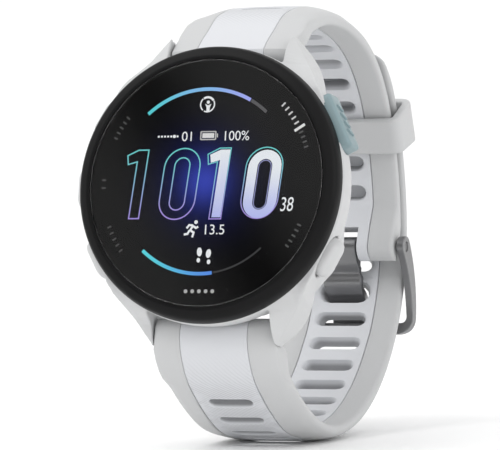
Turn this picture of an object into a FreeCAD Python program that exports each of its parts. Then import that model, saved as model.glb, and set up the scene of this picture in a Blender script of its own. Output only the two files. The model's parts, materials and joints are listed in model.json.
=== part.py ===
"""Running watch on a buckled two-tone silicone strap, standing on the strap's lowest point.

Every piece is drawn in the watch's own frame: x towards the three o'clock side, y from the lens
down into the wrist with y = 0 on the lens, z towards twelve o'clock. The whole watch then leans
back as it stands, with its origin under the middle of the loop.
"""
import FreeCAD
import Part
import math
import os
from FreeCAD import Placement, Rotation, Vector

doc = FreeCAD.newDocument("RunningWatch")
sheet = doc.addObject("Spreadsheet::Sheet", "Sizes")

# alias, value in millimetres or degrees, what it is
SIZES = (
    ("LeanBack", 12.0, "how far the dial leans back as the watch stands"),
    ("BezelRadius", 21.5, "outer radius of the bezel, half the 43 mm case"),
    ("LensRadius", 19.2, "radius of the lens glass"),
    ("LensThick", 1.2, "thickness of the lens glass"),
    ("BezelDepth", 2.7, "depth of the bezel below the lens face"),
    ("WallOuter", 21.6, "largest radius of the housing"),
    ("CavityRadius", 18.6, "radius of the housing's cavity"),
    ("HousingBack", 10.2, "depth where the housing meets the rear cover"),
    ("CoverBack", 11.6, "depth of the rear cover's face"),
    ("WindowRadius", 6.2, "radius of the sensor window"),
    ("WindowProud", 0.6, "how far the sensor window stands out of the cover"),
    ("LugTip", 24.3, "distance of the lug tips from the dial's middle"),
    ("LugInner", 10.2, "half the gap between a pair of lugs"),
    ("PivotDepth", 9.0, "depth of the spring bars"),
    ("PivotReach", 21.9, "distance of the spring bars from the dial's middle"),
    ("BarRadius", 0.9, "radius of a spring bar's barrel"),
    ("TipRadius", 0.45, "radius of a spring bar's tips"),
    ("RootRadius", 2.2, "radius of the strap's root round its spring bar"),
    ("StrapThick", 2.6, "thickness of the strap"),
    ("TailThick", 2.4, "thickness of the strap's tail"),
    ("TailGap", 0.6, "gap between the tail and the strap that it lies on"),
    ("StrapFrontHalf", 10.3, "half the strap's width beside the lugs"),
    ("StrapBackHalf", 10.0, "half the strap's width at the buckle"),
    ("CoreHalf", 5.6, "half the width of the strap's light middle band"),
    ("SlotPitch", 5.25, "distance from one vent slot to the next"),
    ("SlotHeight", 2.2, "height of a vent slot"),
    ("SlotHalf", 4.1, "half the length of a vent slot"),
    ("PinDepth", 58.9, "depth of the buckle's pin"),
    ("PinHeight", -0.3, "height of the buckle's pin"),
    ("PinRadius", 0.8, "radius of the buckle's pin"),
    ("FitGap", 0.05, "radial clearance of a pin in its hole"),
    ("ButtonTravel", 0.5, "how far a button is pressed"),
    ("CoverRadius", 19.9, "radius of the rear cover's rim"),
    ("ScrewCircle", 16.4, "radius of the circle of the cover's screws"),
    ("ScrewShank", 0.75, "radius of a cover screw's shank"),
    ("ScrewHead", 1.4, "radius of a cover screw's head"),
    ("PostRadius", 2.5, "radius of the posts that the cover's screws bite into"),
    ("ContactRadius", 0.75, "radius of a charging contact"),
    ("ArmInner", 10.5, "distance of the buckle frame's arms from the middle"),
    ("ArmOuter", 11.7, "distance of the arms' outer faces from the middle"),
)
for row, (alias, value, note) in enumerate(SIZES, 1):
    sheet.set(f"A{row}", alias)
    sheet.set(f"B{row}", str(value))
    sheet.setAlias(f"B{row}", alias)
    sheet.set(f"C{row}", note)
doc.recompute()


def size(alias):
    """The value of a cell of the sheet."""
    return float(getattr(sheet, alias))


ALONG_DEPTH = Rotation(Vector(1, 0, 0), -90)
ALONG_WIDTH = Rotation(Vector(0, 1, 0), 90)
PIN = Vector(0, size("PinDepth"), size("PinHeight"))
made = {}


def keep(label, obj):
    """Names a finished piece and lists it for export."""
    obj.Label = label
    made[label] = obj
    return obj


def bind(obj, **properties):
    """Sets properties: a number as it is, words as an expression of the sheet's cells."""
    for name, value in properties.items():
        if isinstance(value, str):
            words = value.split(" ")
            obj.setExpression(name, "".join(f"Sizes.{w}" if w[0].isalpha() else w for w in words))
        else:
            setattr(obj, name, value)
    return obj


def disc(radius, thick, depth, x=0.0, z=0.0):
    """A round plate about the depth axis; radius and thick are numbers or expressions."""
    obj = doc.addObject("Part::Cylinder", "Disc")
    bind(obj, Radius=radius, Height=thick)
    obj.Placement = Placement(Vector(x, depth, z), ALONG_DEPTH)
    return obj


def rod(radius, length, x, y, z):
    """A round rod across the width, from x towards +x."""
    obj = doc.addObject("Part::Cylinder", "Rod")
    bind(obj, Radius=radius, Height=length)
    obj.Placement = Placement(Vector(x, y, z), ALONG_WIDTH)
    return obj


def box(low, high):
    """An upright box between two corners."""
    obj = doc.addObject("Part::Box", "Box")
    obj.Length, obj.Width, obj.Height = (high[i] - low[i] for i in range(3))
    obj.Placement.Base = Vector(*low)
    return obj


def cut(base, tools):
    obj = doc.addObject("Part::Cut", "Cut")
    obj.Base = base
    obj.Tool = tools[0] if len(tools) == 1 else fuse(tools)
    return obj


def fuse(shapes):
    obj = doc.addObject("Part::MultiFuse", "Fuse")
    obj.Shapes = shapes
    return obj


def common(shapes):
    obj = doc.addObject("Part::MultiCommon", "Common")
    obj.Shapes = shapes
    return obj


def feature(shape, name="Piece"):
    obj = doc.addObject("Part::Feature", name)
    obj.Shape = shape
    return obj


def closed_outline(points):
    """Edges of a closed outline. An item is a corner, or a pair: a point on an arc and its end."""
    corners = [Vector(*(p[1] if isinstance(p[0], tuple) else p), 0) for p in points]
    edges = []
    for i, item in enumerate(points):
        start = corners[i - 1]
        if isinstance(item[0], tuple):
            edges.append(Part.Arc(start, Vector(*item[0], 0), corners[i]))
        else:
            edges.append(Part.LineSegment(start, corners[i]))
    return edges


def sketched(role, outlines, reach, back=0.0, turn=None):
    """A body with a sketch on an origin plane, padded from back to reach along the plane's normal.

    With turn set, the sketch is revolved about its vertical axis instead.
    """
    body = doc.addObject("PartDesign::Body", "Body")
    plane = next(f for f in body.Origin.OriginFeatures if f.Role == role)
    drawing = body.newObject("Sketcher::SketchObject", "Drawing")
    drawing.AttachmentSupport = [(plane, "")]
    drawing.MapMode = "FlatFace"
    drawing.AttachmentOffset = Placement(Vector(0, 0, back), Rotation())
    for points in outlines:
        drawing.addGeometry(closed_outline(points), False)
    if turn:
        solid = body.newObject("PartDesign::Revolution", "Turned")
        solid.Profile = drawing
        solid.ReferenceAxis = (drawing, ["V_Axis"])
        solid.Angle = turn
    else:
        solid = body.newObject("PartDesign::Pad", "Raised")
        solid.Profile = drawing
        solid.Length = reach - back
    body.Tip = solid
    return body


def turned(points):
    """A ring or plate turned about the depth axis from (radius, depth) points."""
    return sketched("XY_Plane", [points], 0, turn=360)


def side_block(points, half):
    """A side outline of (depth, height) points, made solid across the width."""
    return sketched("YZ_Plane", [points], half, -half)


def plan_block(outlines, near, far):
    """Outlines of (x, height) points seen from the front, made solid from depth near to far."""
    return sketched("XZ_Plane", outlines, -near, -far)


def both_sides(points):
    """An outline right of the middle, and its mirror image."""
    flip = [
        tuple((-q[0], q[1]) for q in p) if isinstance(p[0], tuple) else (-p[0], p[1])
        for p in points
    ]
    return [points, flip]


# ---------------------------------------------------------------- housing and its stack
def make_front():
    """Bezel, lens, the adhesive under it and the display."""
    bezel, lens = size("BezelRadius"), size("LensRadius")
    seat, depth = size("LensThick") + 0.15, size("BezelDepth")
    inner = lens + 0.06
    profile = [
        (inner, 0.0),
        (inner + 0.35, 0.0),
        ((bezel - 0.62, 0.62), (bezel, 1.7)),
        (bezel, depth),
        (lens - 0.9, depth),
        (lens - 0.9, seat),
        (inner, seat),
    ]
    keep("bezel_ring", turned(profile))
    glass = doc.addObject("Part::Chamfer", "Glass")
    blank = disc("LensRadius", "LensThick", 0.0)
    doc.recompute()
    glass.Base = blank
    glass.Edges = [(n + 1, 0.2, 0.2) for n, e in enumerate(blank.Shape.Edges) if front_rim(e)]
    keep("lens_glass", glass)
    under = size("LensThick")
    near, far = lens - 1.3, lens - 0.1
    keep("lens_adhesive", turned([(near, under), (far, under), (far, seat), (near, seat)]))
    edge = lens - 1.5
    keep("display_panel", turned([(0, under), (edge, under), (edge, under + 1.0), (0, under + 1.0)]))


def front_rim(edge):
    """Whether an edge is the circle on the lens face."""
    return all(abs(v.Point.y) < 1e-6 for v in edge.Vertexes) and edge.BoundBox.YLength < 1e-3


# name, angle from three o'clock, half length, half width, stand-off of the cap's face, depth
BUTTONS = (
    ("start_button", 26.8, 4.7, 2.2, 22.7, 5.3),
    ("back_button", -30.0, 3.2, 2.0, 23.0, 5.4),
    ("light_button", 150.0, 3.3, 1.9, 23.0, 5.4),
    ("up_button", 180.0, 3.3, 1.9, 23.0, 5.4),
    ("down_button", 210.0, 3.3, 1.9, 23.0, 5.4),
)
CAP_BASE = 21.0
STEM, GROOVE, SEAL = 0.9, 0.7, 1.4


def button_place(angle, radius, depth):
    """Where a button's own frame sits: its z points out of the housing, its y down the depth."""
    a = math.radians(angle)
    out = Vector(math.cos(a), 0, math.sin(a))
    across = Vector(math.sin(a), 0, -math.cos(a))
    return Placement(out * radius + Vector(0, depth, 0), Rotation(across, Vector(0, 1, 0), out, "ZXY"))


def obround(half_length, half_width):
    """A slot-shaped outline, long along its first axis."""
    s, w = half_length - half_width, half_width
    return [(s, -w), ((half_length, 0), (s, w)), (-s, w), ((-half_length, 0), (-s, -w))]


def obround_block(half_length, half_width, low, high, where):
    body = sketched("XY_Plane", [obround(half_length, half_width)], high, low)
    body.Placement = where
    return body


def radial_rod(radius, low, high, where):
    obj = doc.addObject("Part::Cylinder", "RadialRod")
    obj.Radius, obj.Height = radius, high - low
    obj.Placement = where.multiply(Placement(Vector(0, 0, low), Rotation()))
    return obj


def make_buttons():
    """Each button: cap with stem, O-ring in the stem's groove, retaining clip inside the wall."""
    for name, angle, length, width, face, depth in BUTTONS:
        here = button_place(angle, 0.0, depth)
        cap = sketched("XY_Plane", [obround(length, width)], face, CAP_BASE)
        cap.Placement = here
        doc.recompute()
        rounded = doc.addObject("Part::Fillet", "Rounded")
        rounded.Base = cap
        far = [n + 1 for n, e in enumerate(cap.Shape.Edges) if on_face(e, here, face)]
        rounded.Edges = [(n, 0.7, 0.7) for n in far]
        stem = radial_rod(STEM, 17.3, CAP_BASE + 0.4, here)
        grooves = [
            cut(radial_rod(STEM + 0.2, low, high, here), [radial_rod(GROOVE, low, high, here)])
            for low, high in ((17.7, 18.1), (19.8, 20.3))
        ]
        keep(name, cut(fuse([rounded, stem]), grooves))
        ring = cut(radial_rod(SEAL, 19.8, 20.3, here), [radial_rod(GROOVE, 19.7, 20.4, here)])
        keep(name + "_seal", ring)
        slit = box((-0.45, -2, 17.6), (0.45, 0, 18.2))
        slit.Placement = here.multiply(slit.Placement)
        clip = radial_rod(1.5, 17.7, 18.1, here)
        keep(name + "_clip", cut(clip, [radial_rod(GROOVE, 17.6, 18.2, here), slit]))


def on_face(edge, here, face):
    """Whether an edge lies on a cap's outer face."""
    return all(abs(here.inverse().multVec(v.Point).z - face) < 1e-4 for v in edge.Vertexes)


def make_housing():
    """The housing: round wall with four lugs, button holes, screw posts and the straps' clearances."""
    wall, cavity = size("WallOuter"), size("CavityRadius")
    top, back = size("BezelDepth"), size("HousingBack")
    tip, reach, depth = size("LugTip"), size("PivotReach"), size("PivotDepth")
    inner = size("LugInner")
    ring = turned(
        [
            (cavity, top),
            (wall - 0.3, top),
            ((wall - 0.05, top + 0.35), (wall, top + 0.9)),
            ((wall - 0.45, 7.2), (size("CoverRadius"), back)),
            (cavity, back),
        ]
    )
    side = [
        (inner, 15.0),
        (inner, tip - 0.7),
        ((inner + 0.3, tip), (inner + 1.1, tip - 0.5)),
        ((15.8, 16.75), (19.4, 9.05)),
        (19.4, -9.05),
        ((15.8, -16.75), (inner + 1.1, 0.5 - tip)),
        ((inner + 0.3, -tip), (inner, 0.7 - tip)),
        (inner, -15.0),
    ]
    plan = plan_block(both_sides(side), top, 12.5)
    profile = [
        (top + 0.2, 15.0),
        (top + 0.9, 18.5),
        ((top + 1.9, 21.8), (6.5, tip - 0.3)),
        ((8.0, tip + 0.6), (9.6, tip - 0.5)),
        ((11.2, 22.4), (back, 15.5)),
        (back, -15.5),
        ((11.2, -22.4), (9.6, 0.5 - tip)),
        ((8.0, -tip - 0.6), (6.5, 0.3 - tip)),
        ((top + 1.9, -21.8), (top + 0.9, -18.5)),
        (top + 0.2, -15.0),
    ]
    lugs = common([plan, side_block(profile, 25.0)])
    hollow = disc("CavityRadius", "HousingBack", 0.0)
    posts = [disc("PostRadius", 1.9, 8.3, x, z) for x, z in screw_places()]
    body = fuse([cut(fuse([ring, lugs]), [hollow]), *posts])
    away = [disc("ScrewShank + FitGap", 2.7, 8.0, x, z) for x, z in screw_places()]
    away.append(disc("CoverRadius + FitGap", 2.7, back))
    for end in (1, -1):
        away.append(rod("RootRadius + 0.35", 21.4, -10.7, depth, end * reach))
        gap = [(x, end * z) for x, z in ((-inner, 19.35), (inner, 19.35), (inner, 27.0), (-inner, 27.0))]
        away.append(plan_block([gap], 6.0, 14.0))
        for start in (inner, -inner - 1.6):
            away.append(rod("TipRadius + FitGap", 1.6, start, depth, end * reach))
    for _, angle, length, width, _, y in BUTTONS:
        here = button_place(angle, 0.0, y)
        away.append(radial_rod(STEM + size("FitGap"), 17.0, 22.0, here))
        away.append(radial_rod(SEAL + size("FitGap"), 19.2, 22.0, here))
        away.append(obround_block(length + 0.2, width + 0.2, 20.4, 24.0, here))
    keep("mid_case", cut(body, away))


def screw_places():
    """Middles of the rear cover's four screws."""
    r = size("ScrewCircle")
    return [(r * math.cos(a), r * math.sin(a)) for a in (math.radians(45 + 90 * i) for i in range(4))]


def make_back():
    """Rear cover with its screws, gasket, sensor window and charging contacts."""
    back, face = size("HousingBack"), size("CoverBack")
    plate = turned(
        [
            (0, back),
            (17.2, back),
            (17.2, 9.3),
            (17.85, 9.3),
            (17.85, back),
            (size("CoverRadius"), back),
            ((19.5, 11.0), (18.4, face)),
            (0, face),
        ]
    )
    away = [disc("WindowRadius + FitGap", 4.0, 9.0)]
    for x, z in screw_places():
        away.append(disc("ScrewShank + FitGap", 4.0, 9.0, x, z))
        away.append(disc("PostRadius + 0.1", 0.9, 9.3, x, z))
        away.append(disc("ScrewHead + 0.1", 0.9, face - 0.8, x, z))
    away.append(box((-4.6, face - 0.4, -11.4), (4.6, face + 1, -8.2)))
    pads = [(-3.0 + 2.0 * i, -9.8) for i in range(4)]
    away += [disc("ContactRadius + FitGap", 4.0, 9.0, x, z) for x, z in pads]
    keep("rear_cover", cut(plate, away))
    keep("charging_contacts", fuse([disc("ContactRadius", 1.5, 9.9, x, z) for x, z in pads]))
    screws = []
    for x, z in screw_places():
        head = disc("ScrewHead", 0.7, face - 0.75, x, z)
        shank = disc("ScrewShank", 2.2, 8.7, x, z)
        socket = disc(0.45, 0.45, face - 0.5, x, z)
        screws.append(cut(fuse([head, shank]), [socket]))
    keep("rear_cover_screws", fuse(screws))
    gasket = turned([(17.9, 9.6), (18.55, 9.6), (18.55, 10.15), (17.9, 10.15)])
    notches = [disc("PostRadius + 0.1", 0.9, 9.4, x, z) for x, z in screw_places()]
    keep("rear_cover_gasket", cut(gasket, notches))
    proud = face + size("WindowProud")
    window = size("WindowRadius")
    bevel = ((window - 0.5, face + 0.4), (window - 1.6, proud))
    keep("sensor_window", turned([(0, 9.9), (window, 9.9), (window, face), bevel, (0, proud)]))
    keep("sensor_board", box((-7.5, 8.7, -7.5), (7.5, 9.6, 7.5)))


def make_inside():
    """What fills the housing: frame, antenna, battery, boards, buzzer, motor and switches."""
    keep("gnss_antenna", turned([(17.7, 2.8), (18.4, 2.8), (18.4, 3.8), (17.7, 3.8)]))
    keep("inner_frame", turned([(5.0, 2.8), (17.4, 2.8), (17.4, 3.6), (5.0, 3.6)]))
    keep("battery", box((-6.0, 3.8, -9.0), (12.0, 7.0, 9.0)))
    board = disc("CavityRadius - 1.2", 0.8, 7.3)
    keep("main_board", cut(board, [box((-18, 7, -2.0), (-15.5, 9, 2.0))]))
    keep("piezo_buzzer", disc(3.5, 0.9, 4.3, -10.3, 4.6))
    keep("vibration_motor", disc(3.4, 2.6, 4.0, -10.3, -4.6))
    switches = []
    for _, angle, _, _, _, y in BUTTONS:
        here = button_place(angle, 0.0, y)
        plate = box((-1.6, -1.2, 15.8), (1.6, 1.2, 16.2))
        plate.Placement = here.multiply(plate.Placement)
        switches.append(fuse([plate, radial_rod(1.0, 16.1, 16.7, here)]))
    keep("button_switches", fuse(switches))


# ---------------------------------------------------------------- strap
# The strap's outer face seen from the side: start (depth, height), heading, and runs of
# (radius, turn) in millimetres and degrees. Each run is an arc tangent to the one before it.
UPPER_START, UPPER_HEADING = (7.3, 22.8), 48.2
UPPER_RUNS = ((28.7, -34.8), (38.4, -24.2), (25.1, -41.7), (43.3, -28.2))
LOWER_START, LOWER_HEADING = (4.347, -23.135), -45.11
LOWER_RUNS = ((43.85, 32.41), (28.6, 33.44), (36.06, 42.24), (32.76, 36.32))
TAIL_TURNS = (28.2, 24.0)
TONGUE_SLOT = 77.2  # distance along the lower strap of the slot that holds the tongue
FIRST_SLOT = 14.4  # distance along the upper strap of its first slot


def tail_runs():
    """The tail lies a constant distance outside the upper strap, so its arcs share their middles."""
    out = size("TailThick") + size("TailGap")
    radii = [r + out for r, _ in reversed(UPPER_RUNS)]
    return tuple(zip(radii, TAIL_TURNS))


def arcs_of(start, heading, runs):
    """Each run as (middle, radius, angle of its start seen from the middle, turn)."""
    at, towards, found = Vector(0, *start), math.radians(heading), []
    for radius, turn in runs:
        side = math.copysign(1, turn)
        normal = Vector(0, -math.sin(towards), math.cos(towards)) * side
        middle = at + normal * radius
        begin = math.atan2(at.z - middle.z, at.y - middle.y)
        found.append((middle, radius, begin, math.radians(turn)))
        towards += math.radians(turn)
        at = on_circle(middle, radius, begin + math.radians(turn))
    return found


def on_circle(middle, radius, angle):
    return middle + Vector(0, math.cos(angle), math.sin(angle)) * radius


def offset_edges(arcs, inwards):
    """The runs' arcs moved inwards by a distance."""
    edges = []
    for middle, radius, begin, turn in arcs:
        r = radius - inwards
        points = [on_circle(middle, r, begin + turn * share) for share in (0, 0.5, 1)]
        edges.append(Part.Arc(*points).toShape())
    return edges


def ribbon(arcs, thick, half, inset=0.0):
    """A strip that follows the arcs, from inset below the outer face to thick below it."""
    outer, inner = offset_edges(arcs, inset), offset_edges(arcs, thick)
    ends = [
        Part.makeLine(outer[-1].Vertexes[-1].Point, inner[-1].Vertexes[-1].Point),
        Part.makeLine(inner[0].Vertexes[0].Point, outer[0].Vertexes[0].Point),
    ]
    return across(Part.Wire(Part.__sortEdges__([*outer, *inner, *ends])), half)


def across(wire, half):
    """A closed side outline made solid across the width."""
    solid = Part.Face(wire).extrude(Vector(2 * half, 0, 0))
    solid.translate(Vector(-half, 0, 0))
    return solid


def side_prism(points, half):
    """A solid across the width from (depth, height) corners."""
    corners = [Vector(0, *p) for p in points]
    return across(Part.makePolygon([*corners, corners[0]]), half)


def rod_shape(radius, half, y, z):
    return Part.makeCylinder(radius, 2 * half, Vector(-half, y, z), Vector(1, 0, 0))


def point_along(arcs, distance, inwards):
    """The point and direction at a distance along the outer face, moved inwards."""
    for middle, radius, begin, turn in arcs:
        length = radius * abs(turn)
        if distance <= length:
            angle = begin + turn * distance / length
            return on_circle(middle, radius - inwards, angle), angle
        distance -= length
    raise ValueError("the strap is shorter than that")


def slot_tool(arcs, distance, half, height):
    """A slot-shaped cutter square to the strap at a distance along it."""
    middle, angle = point_along(arcs, distance, size("StrapThick") / 2)
    rise = height / 2
    flat = half - rise
    deep = 6.0
    block = Part.makeBox(2 * flat, deep, height, Vector(-flat, -deep / 2, -rise))
    ends = [Part.makeCylinder(rise, deep, Vector(s * flat, -deep / 2, 0), Vector(0, 1, 0)) for s in (1, -1)]
    tool = block.multiFuse(ends)
    tool.Placement = Placement(middle, Rotation(Vector(1, 0, 0), math.degrees(angle)))
    return tool


def strap_outline():
    """The strap's outline from above and from the front: it narrows to the buckle and to the lugs."""
    front, back = size("StrapFrontHalf"), size("StrapBackHalf")
    above = [(front, 3), (front, 10), (back, 62), (back, 70)]
    above += [(-x, y) for x, y in reversed(above)]
    flat = Part.Face(Part.makePolygon([Vector(x, y, -45) for x, y in [*above, above[0]]]))
    tall = flat.extrude(Vector(0, 0, 90))
    tip, between = size("LugTip"), size("LugInner") - 0.25
    right = [(between, 0), (between, tip + 0.1), (13, tip + 0.6), (13, 45)]
    whole = [*right, *[(-x, z) for x, z in reversed(right)]]
    both = []
    for end in (1, -1):
        ring = [Vector(x, 0, end * z) for x, z in [*whole, whole[0]]]
        both.append(Part.Face(Part.makePolygon(ring)).extrude(Vector(0, 14, 0)))
    behind = Part.makeBox(60, 60, 90, Vector(-30, 14, -45))
    return tall.common(both[0].multiFuse([both[1], behind]))


def split_strap(name, solid, slots):
    """The light middle band with its slots, and the two edge bands."""
    half = size("CoreHalf")
    middle = Part.makeBox(2 * half, 90, 100, Vector(-half, 0, -50))
    keep(name + "_core", feature(solid.common(middle).cut(slots)))
    for side, start in (("right", half), ("left", -half - 20)):
        edge = Part.makeBox(20, 90, 100, Vector(start, 0, -50))
        keep(f"{name}_edge_{side}", feature(solid.common(edge)))


def root_tools(end, lever_way):
    """What a spring bar takes out of the strap's root: its bore and the lever's notch."""
    y, z = size("PivotDepth"), end * size("PivotReach")
    bore = rod_shape(size("BarRadius") + size("FitGap"), 13, y, z)
    notch = Part.makeBox(3.4, 4.5, 1.6, Vector(3.8, 0, -0.8))
    notch.Placement = Placement(Vector(0, y, z), Rotation(Vector(1, 0, 0), lever_way))
    return [bore, notch]


LEVER_WAY = {1: -40.0, -1: 40.0}  # how far each lever turns out of square, by end


def make_upper_strap():
    """The buckle's half of the strap."""
    arcs = arcs_of(UPPER_START, UPPER_HEADING, UPPER_RUNS)
    root = rod_shape(size("RootRadius"), 13, size("PivotDepth"), size("PivotReach"))
    filler = side_prism([(7.3, 22.8), (11.5, 26.6), (15.6, 26.6), (11.0, 21.6), (9.0, 21.0)], 13)
    eye = rod_shape(2.4, 13, PIN.y, PIN.z)
    outline = [(61.7, 3.3), (61.25, -0.3), (56.5, -0.3), (57.3, 3.4), (58.45, 6.6), (60.9, 7.0)]
    neck = side_prism(outline, 13)
    solid = ribbon(arcs, size("StrapThick"), 13).multiFuse([root, filler, eye, neck])
    solid = solid.common(strap_outline())
    pin_bore = rod_shape(size("PinRadius") + size("FitGap"), 13, PIN.y, PIN.z)
    solid = solid.cut([*root_tools(1, LEVER_WAY[1]), pin_bore])
    slots = []
    for i in range(11):
        where = FIRST_SLOT + i * size("SlotPitch")
        slots.append(slot_tool(arcs, where, size("SlotHalf"), size("SlotHeight")))
    notch = Part.makeBox(5.4, 8, 6.2, Vector(-2.7, PIN.y - 4, PIN.z - 3.2))
    split_strap("upper_strap", solid, [*slots, notch])


def lower_arcs():
    return arcs_of(LOWER_START, LOWER_HEADING, (*LOWER_RUNS, *tail_runs()))


def taper_tool(arcs, length):
    """What thins the last stretch of the tail from outside."""
    steps = ((9.0, 0.0), (4.5, 0.7), (0.01, 1.8), (0.01, -3.0), (9.0, -3.0))
    points = [point_along(arcs, length - short, inwards)[0] for short, inwards in steps]
    return side_prism([(p.y, p.z) for p in points], 13)


def make_lower_strap():
    """The long half of the strap, whose tail runs through the buckle and lies on the upper half."""
    arcs = lower_arcs()
    root = rod_shape(size("RootRadius"), 13, size("PivotDepth"), -size("PivotReach"))
    outline = [(5.6, -22.4), (6.3, -25.0), (9.9, -28.0), (14.0, -27.6), (11.1, -22.2), (8.4, -20.2)]
    filler = side_prism(outline, 13)
    band = ribbon(arcs[:3], size("StrapThick"), 13)
    tail = ribbon(arcs[3:], size("TailThick"), 13)
    solid = band.multiFuse([tail, root, filler]).common(strap_outline())
    front = Part.makeBox(30, 3.2, 40, Vector(-15, 3, -45))
    length = sum(radius * abs(turn) for _, radius, _, turn in arcs)
    solid = solid.cut([*root_tools(-1, LEVER_WAY[-1]), front, taper_tool(arcs, length)])
    slots = []
    for i in range(-12, 10):
        where = TONGUE_SLOT + i * size("SlotPitch")
        height = size("SlotHeight") + (1.4 if i == 0 else 0.0)
        if where < length - 6:
            slots.append(slot_tool(arcs, where, size("SlotHalf"), height))
    split_strap("lower_strap", solid, slots)


def make_spring_bars():
    """Quick-release spring bars: a barrel with one fixed tip, and a plunger with its lever."""
    y = size("PivotDepth")
    for name, end in (("upper", 1), ("lower", -1)):
        z = end * size("PivotReach")
        there = Placement(Vector(0, y, z), Rotation(Vector(1, 0, 0), LEVER_WAY[end]))
        barrel = fuse([rod("BarRadius", 17.4, -9.2, y, z), rod("TipRadius", 2.2, -11.2, y, z)])
        bore = rod("TipRadius + 0.1", 9.0, 3.2, y, z)
        slit = box((3.9, 0, -0.45), (7.0, 3, 0.45))
        slit.Placement = there.multiply(slit.Placement)
        keep(name + "_spring_bar", cut(barrel, [bore, slit]))
        lever = box((5.8, 0, -0.35), (6.8, 2.9, 0.35))
        lever.Placement = there.multiply(lever.Placement)
        keep(name + "_release_lever", fuse([rod("TipRadius", 5.7, 5.5, y, z), lever]))


# ---------------------------------------------------------------- buckle and keeper
def make_buckle():
    """Frame and tongue, both hinged on one pin."""
    half, bar = size("ArmInner"), size("ArmOuter")
    ring = [
        (-bar, 4.0),
        (-bar, -11.4),
        ((-bar + 0.8, -13.4), (-bar + 2.8, -14.2)),
        (bar - 2.8, -14.2),
        ((bar - 0.8, -13.4), (bar, -11.4)),
        (bar, 4.0),
        (half, 4.0),
        (half, -11.2),
        ((half - 0.3, -12.0), (half - 1.1, -12.3)),
        (1.1 - half, -12.3),
        ((0.3 - half, -12.0), (-half, -11.2)),
        (-half, 4.0),
    ]
    y, z = PIN.y, PIN.z
    side = [
        ((y, z + 1.7), (y + 1.2, z + 1.2)),
        ((64.4, -6.6), (65.3, -12.6)),
        ((65.1, -13.8), (64.3, -14.3)),
        (63.55, -14.2),
        (63.8, -12.2),
        ((61.9, -6.8), (y - 1.4, z - 1.0)),
        ((y - 1.75, z + 0.1), (y - 1.2, z + 1.2)),
    ]
    frame = common([plan_block([ring], 50.0, 70.0), side_block(side, 14.0)])
    keep("buckle_frame", cut(frame, [rod("PinRadius + FitGap", 25.0, -12.5, y, z)]))
    keep("buckle_pin", rod("PinRadius", "ArmOuter * 2 - 0.4", 0.2 - bar, y, z))
    tongue_side = [
        (y - 1.2, z - 1.0),
        ((y, z + 1.65), (y + 1.6, z - 0.4)),
        (61.1, -4.0),
        ((61.9, -5.5), (62.6, -6.6)),
        ((64.0, -7.4), (65.2, -8.7)),
        ((66.1, -10.9), (66.5, -13.6)),
        ((66.2, -14.6), (65.5, -13.9)),
        ((65.2, -11.6), (64.4, -9.8)),
        ((63.2, -8.7), (61.9, -7.8)),
        ((60.9, -6.5), (60.1, -4.4)),
    ]
    wide, slim = 3.3, 2.2
    plan = [
        (-slim, 3.0),
        (slim, 3.0),
        (slim, -3.1),
        ((slim + 0.3, -3.9), ((slim + wide) / 2, -4.2)),
        ((wide - 0.3, -4.5), (wide, -5.4)),
        (wide - 0.3, -14.0),
        ((0.0, -15.4), (0.3 - wide, -14.0)),
        (-wide, -5.4),
        ((0.3 - wide, -4.5), (-(slim + wide) / 2, -4.2)),
        ((-slim - 0.3, -3.9), (-slim, -3.1)),
    ]
    tongue = common([plan_block([plan], 50.0, 70.0), side_block(tongue_side, 6.0)])
    keep("buckle_tongue", cut(tongue, [rod("PinRadius + FitGap", 12.0, -6.0, y, z)]))


def make_keeper():
    """The loop that holds the tail down: concentric with the strap, so that it can slide along it."""
    middle, radius, begin, turn = arcs_of(UPPER_START, UPPER_HEADING, UPPER_RUNS)[3]
    start, stop = begin + turn * 0.05, begin + turn * 0.355
    spans = []
    tail = size("TailThick") + size("TailGap")
    inner_half = size("StrapBackHalf") + 0.45
    for low, high, half in (
        (radius - size("StrapThick") - 1.75, radius + tail + 1.85, inner_half + 1.5),
        (radius - size("StrapThick") - 0.35, radius + tail + 0.35, inner_half),
    ):
        edges = []
        for r in (low, high):
            points = [on_circle(middle, r, start + (stop - start) * share) for share in (0, 0.5, 1)]
            edges.append(Part.Arc(*points).toShape())
        for i in (0, -1):
            edges.append(Part.makeLine(edges[0].Vertexes[i].Point, edges[1].Vertexes[i].Point))
        spans.append(across(Part.Wire(Part.__sortEdges__(edges)), half))
    keep("strap_keeper", feature(spans[0].cut(spans[1])))


make_front()
make_housing()
make_back()
make_inside()
make_buttons()
make_upper_strap()
make_lower_strap()
make_spring_bars()
make_buckle()
make_keeper()
doc.recompute()

# ---------------------------------------------------------------- standing pose and export
lean = Rotation(Vector(1, 0, 0), -size("LeanBack"))


def leaning_box():
    """The box round the whole watch once it leans back."""
    whole = FreeCAD.BoundBox()
    for obj in made.values():
        shape = obj.Shape.copy()
        shape.rotate(Vector(0, 0, 0), Vector(1, 0, 0), -size("LeanBack"))
        whole.add(shape.optimalBoundingBox())
    return whole


around = leaning_box()
foot = Vector(-around.Center.x, -around.Center.y, -around.ZMin)
for obj in made.values():
    obj.Placement = Placement(foot, lean).multiply(obj.Placement)
doc.recompute()

for obj in doc.Objects:
    if "Invalid" in obj.State or "Error" in obj.State:
        raise RuntimeError(f"{obj.Name} {obj.Label} did not compute: {obj.State}")
for label, obj in made.items():
    if obj.Shape.isNull() or not obj.Shape.isValid() or obj.Shape.Volume <= 0:
        raise RuntimeError(f"{label} is not a sound solid")

os.makedirs("parts", exist_ok=True)
for label, obj in made.items():
    obj.Shape.exportStep(f"parts/{label}.step")
print("pieces", len(made), "moved to", [round(v, 4) for v in foot], "box", around)
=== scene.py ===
"""Looks of a running watch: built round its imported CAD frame, as a Blender add-on run as a script.

Shapes are drawn in the watch's own frame in millimetres: x towards three o'clock, y from the lens
down into the wrist, z towards twelve o'clock. PLACE carries them into the row frame in metres.
"""

import bisect
import json
import math

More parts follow.
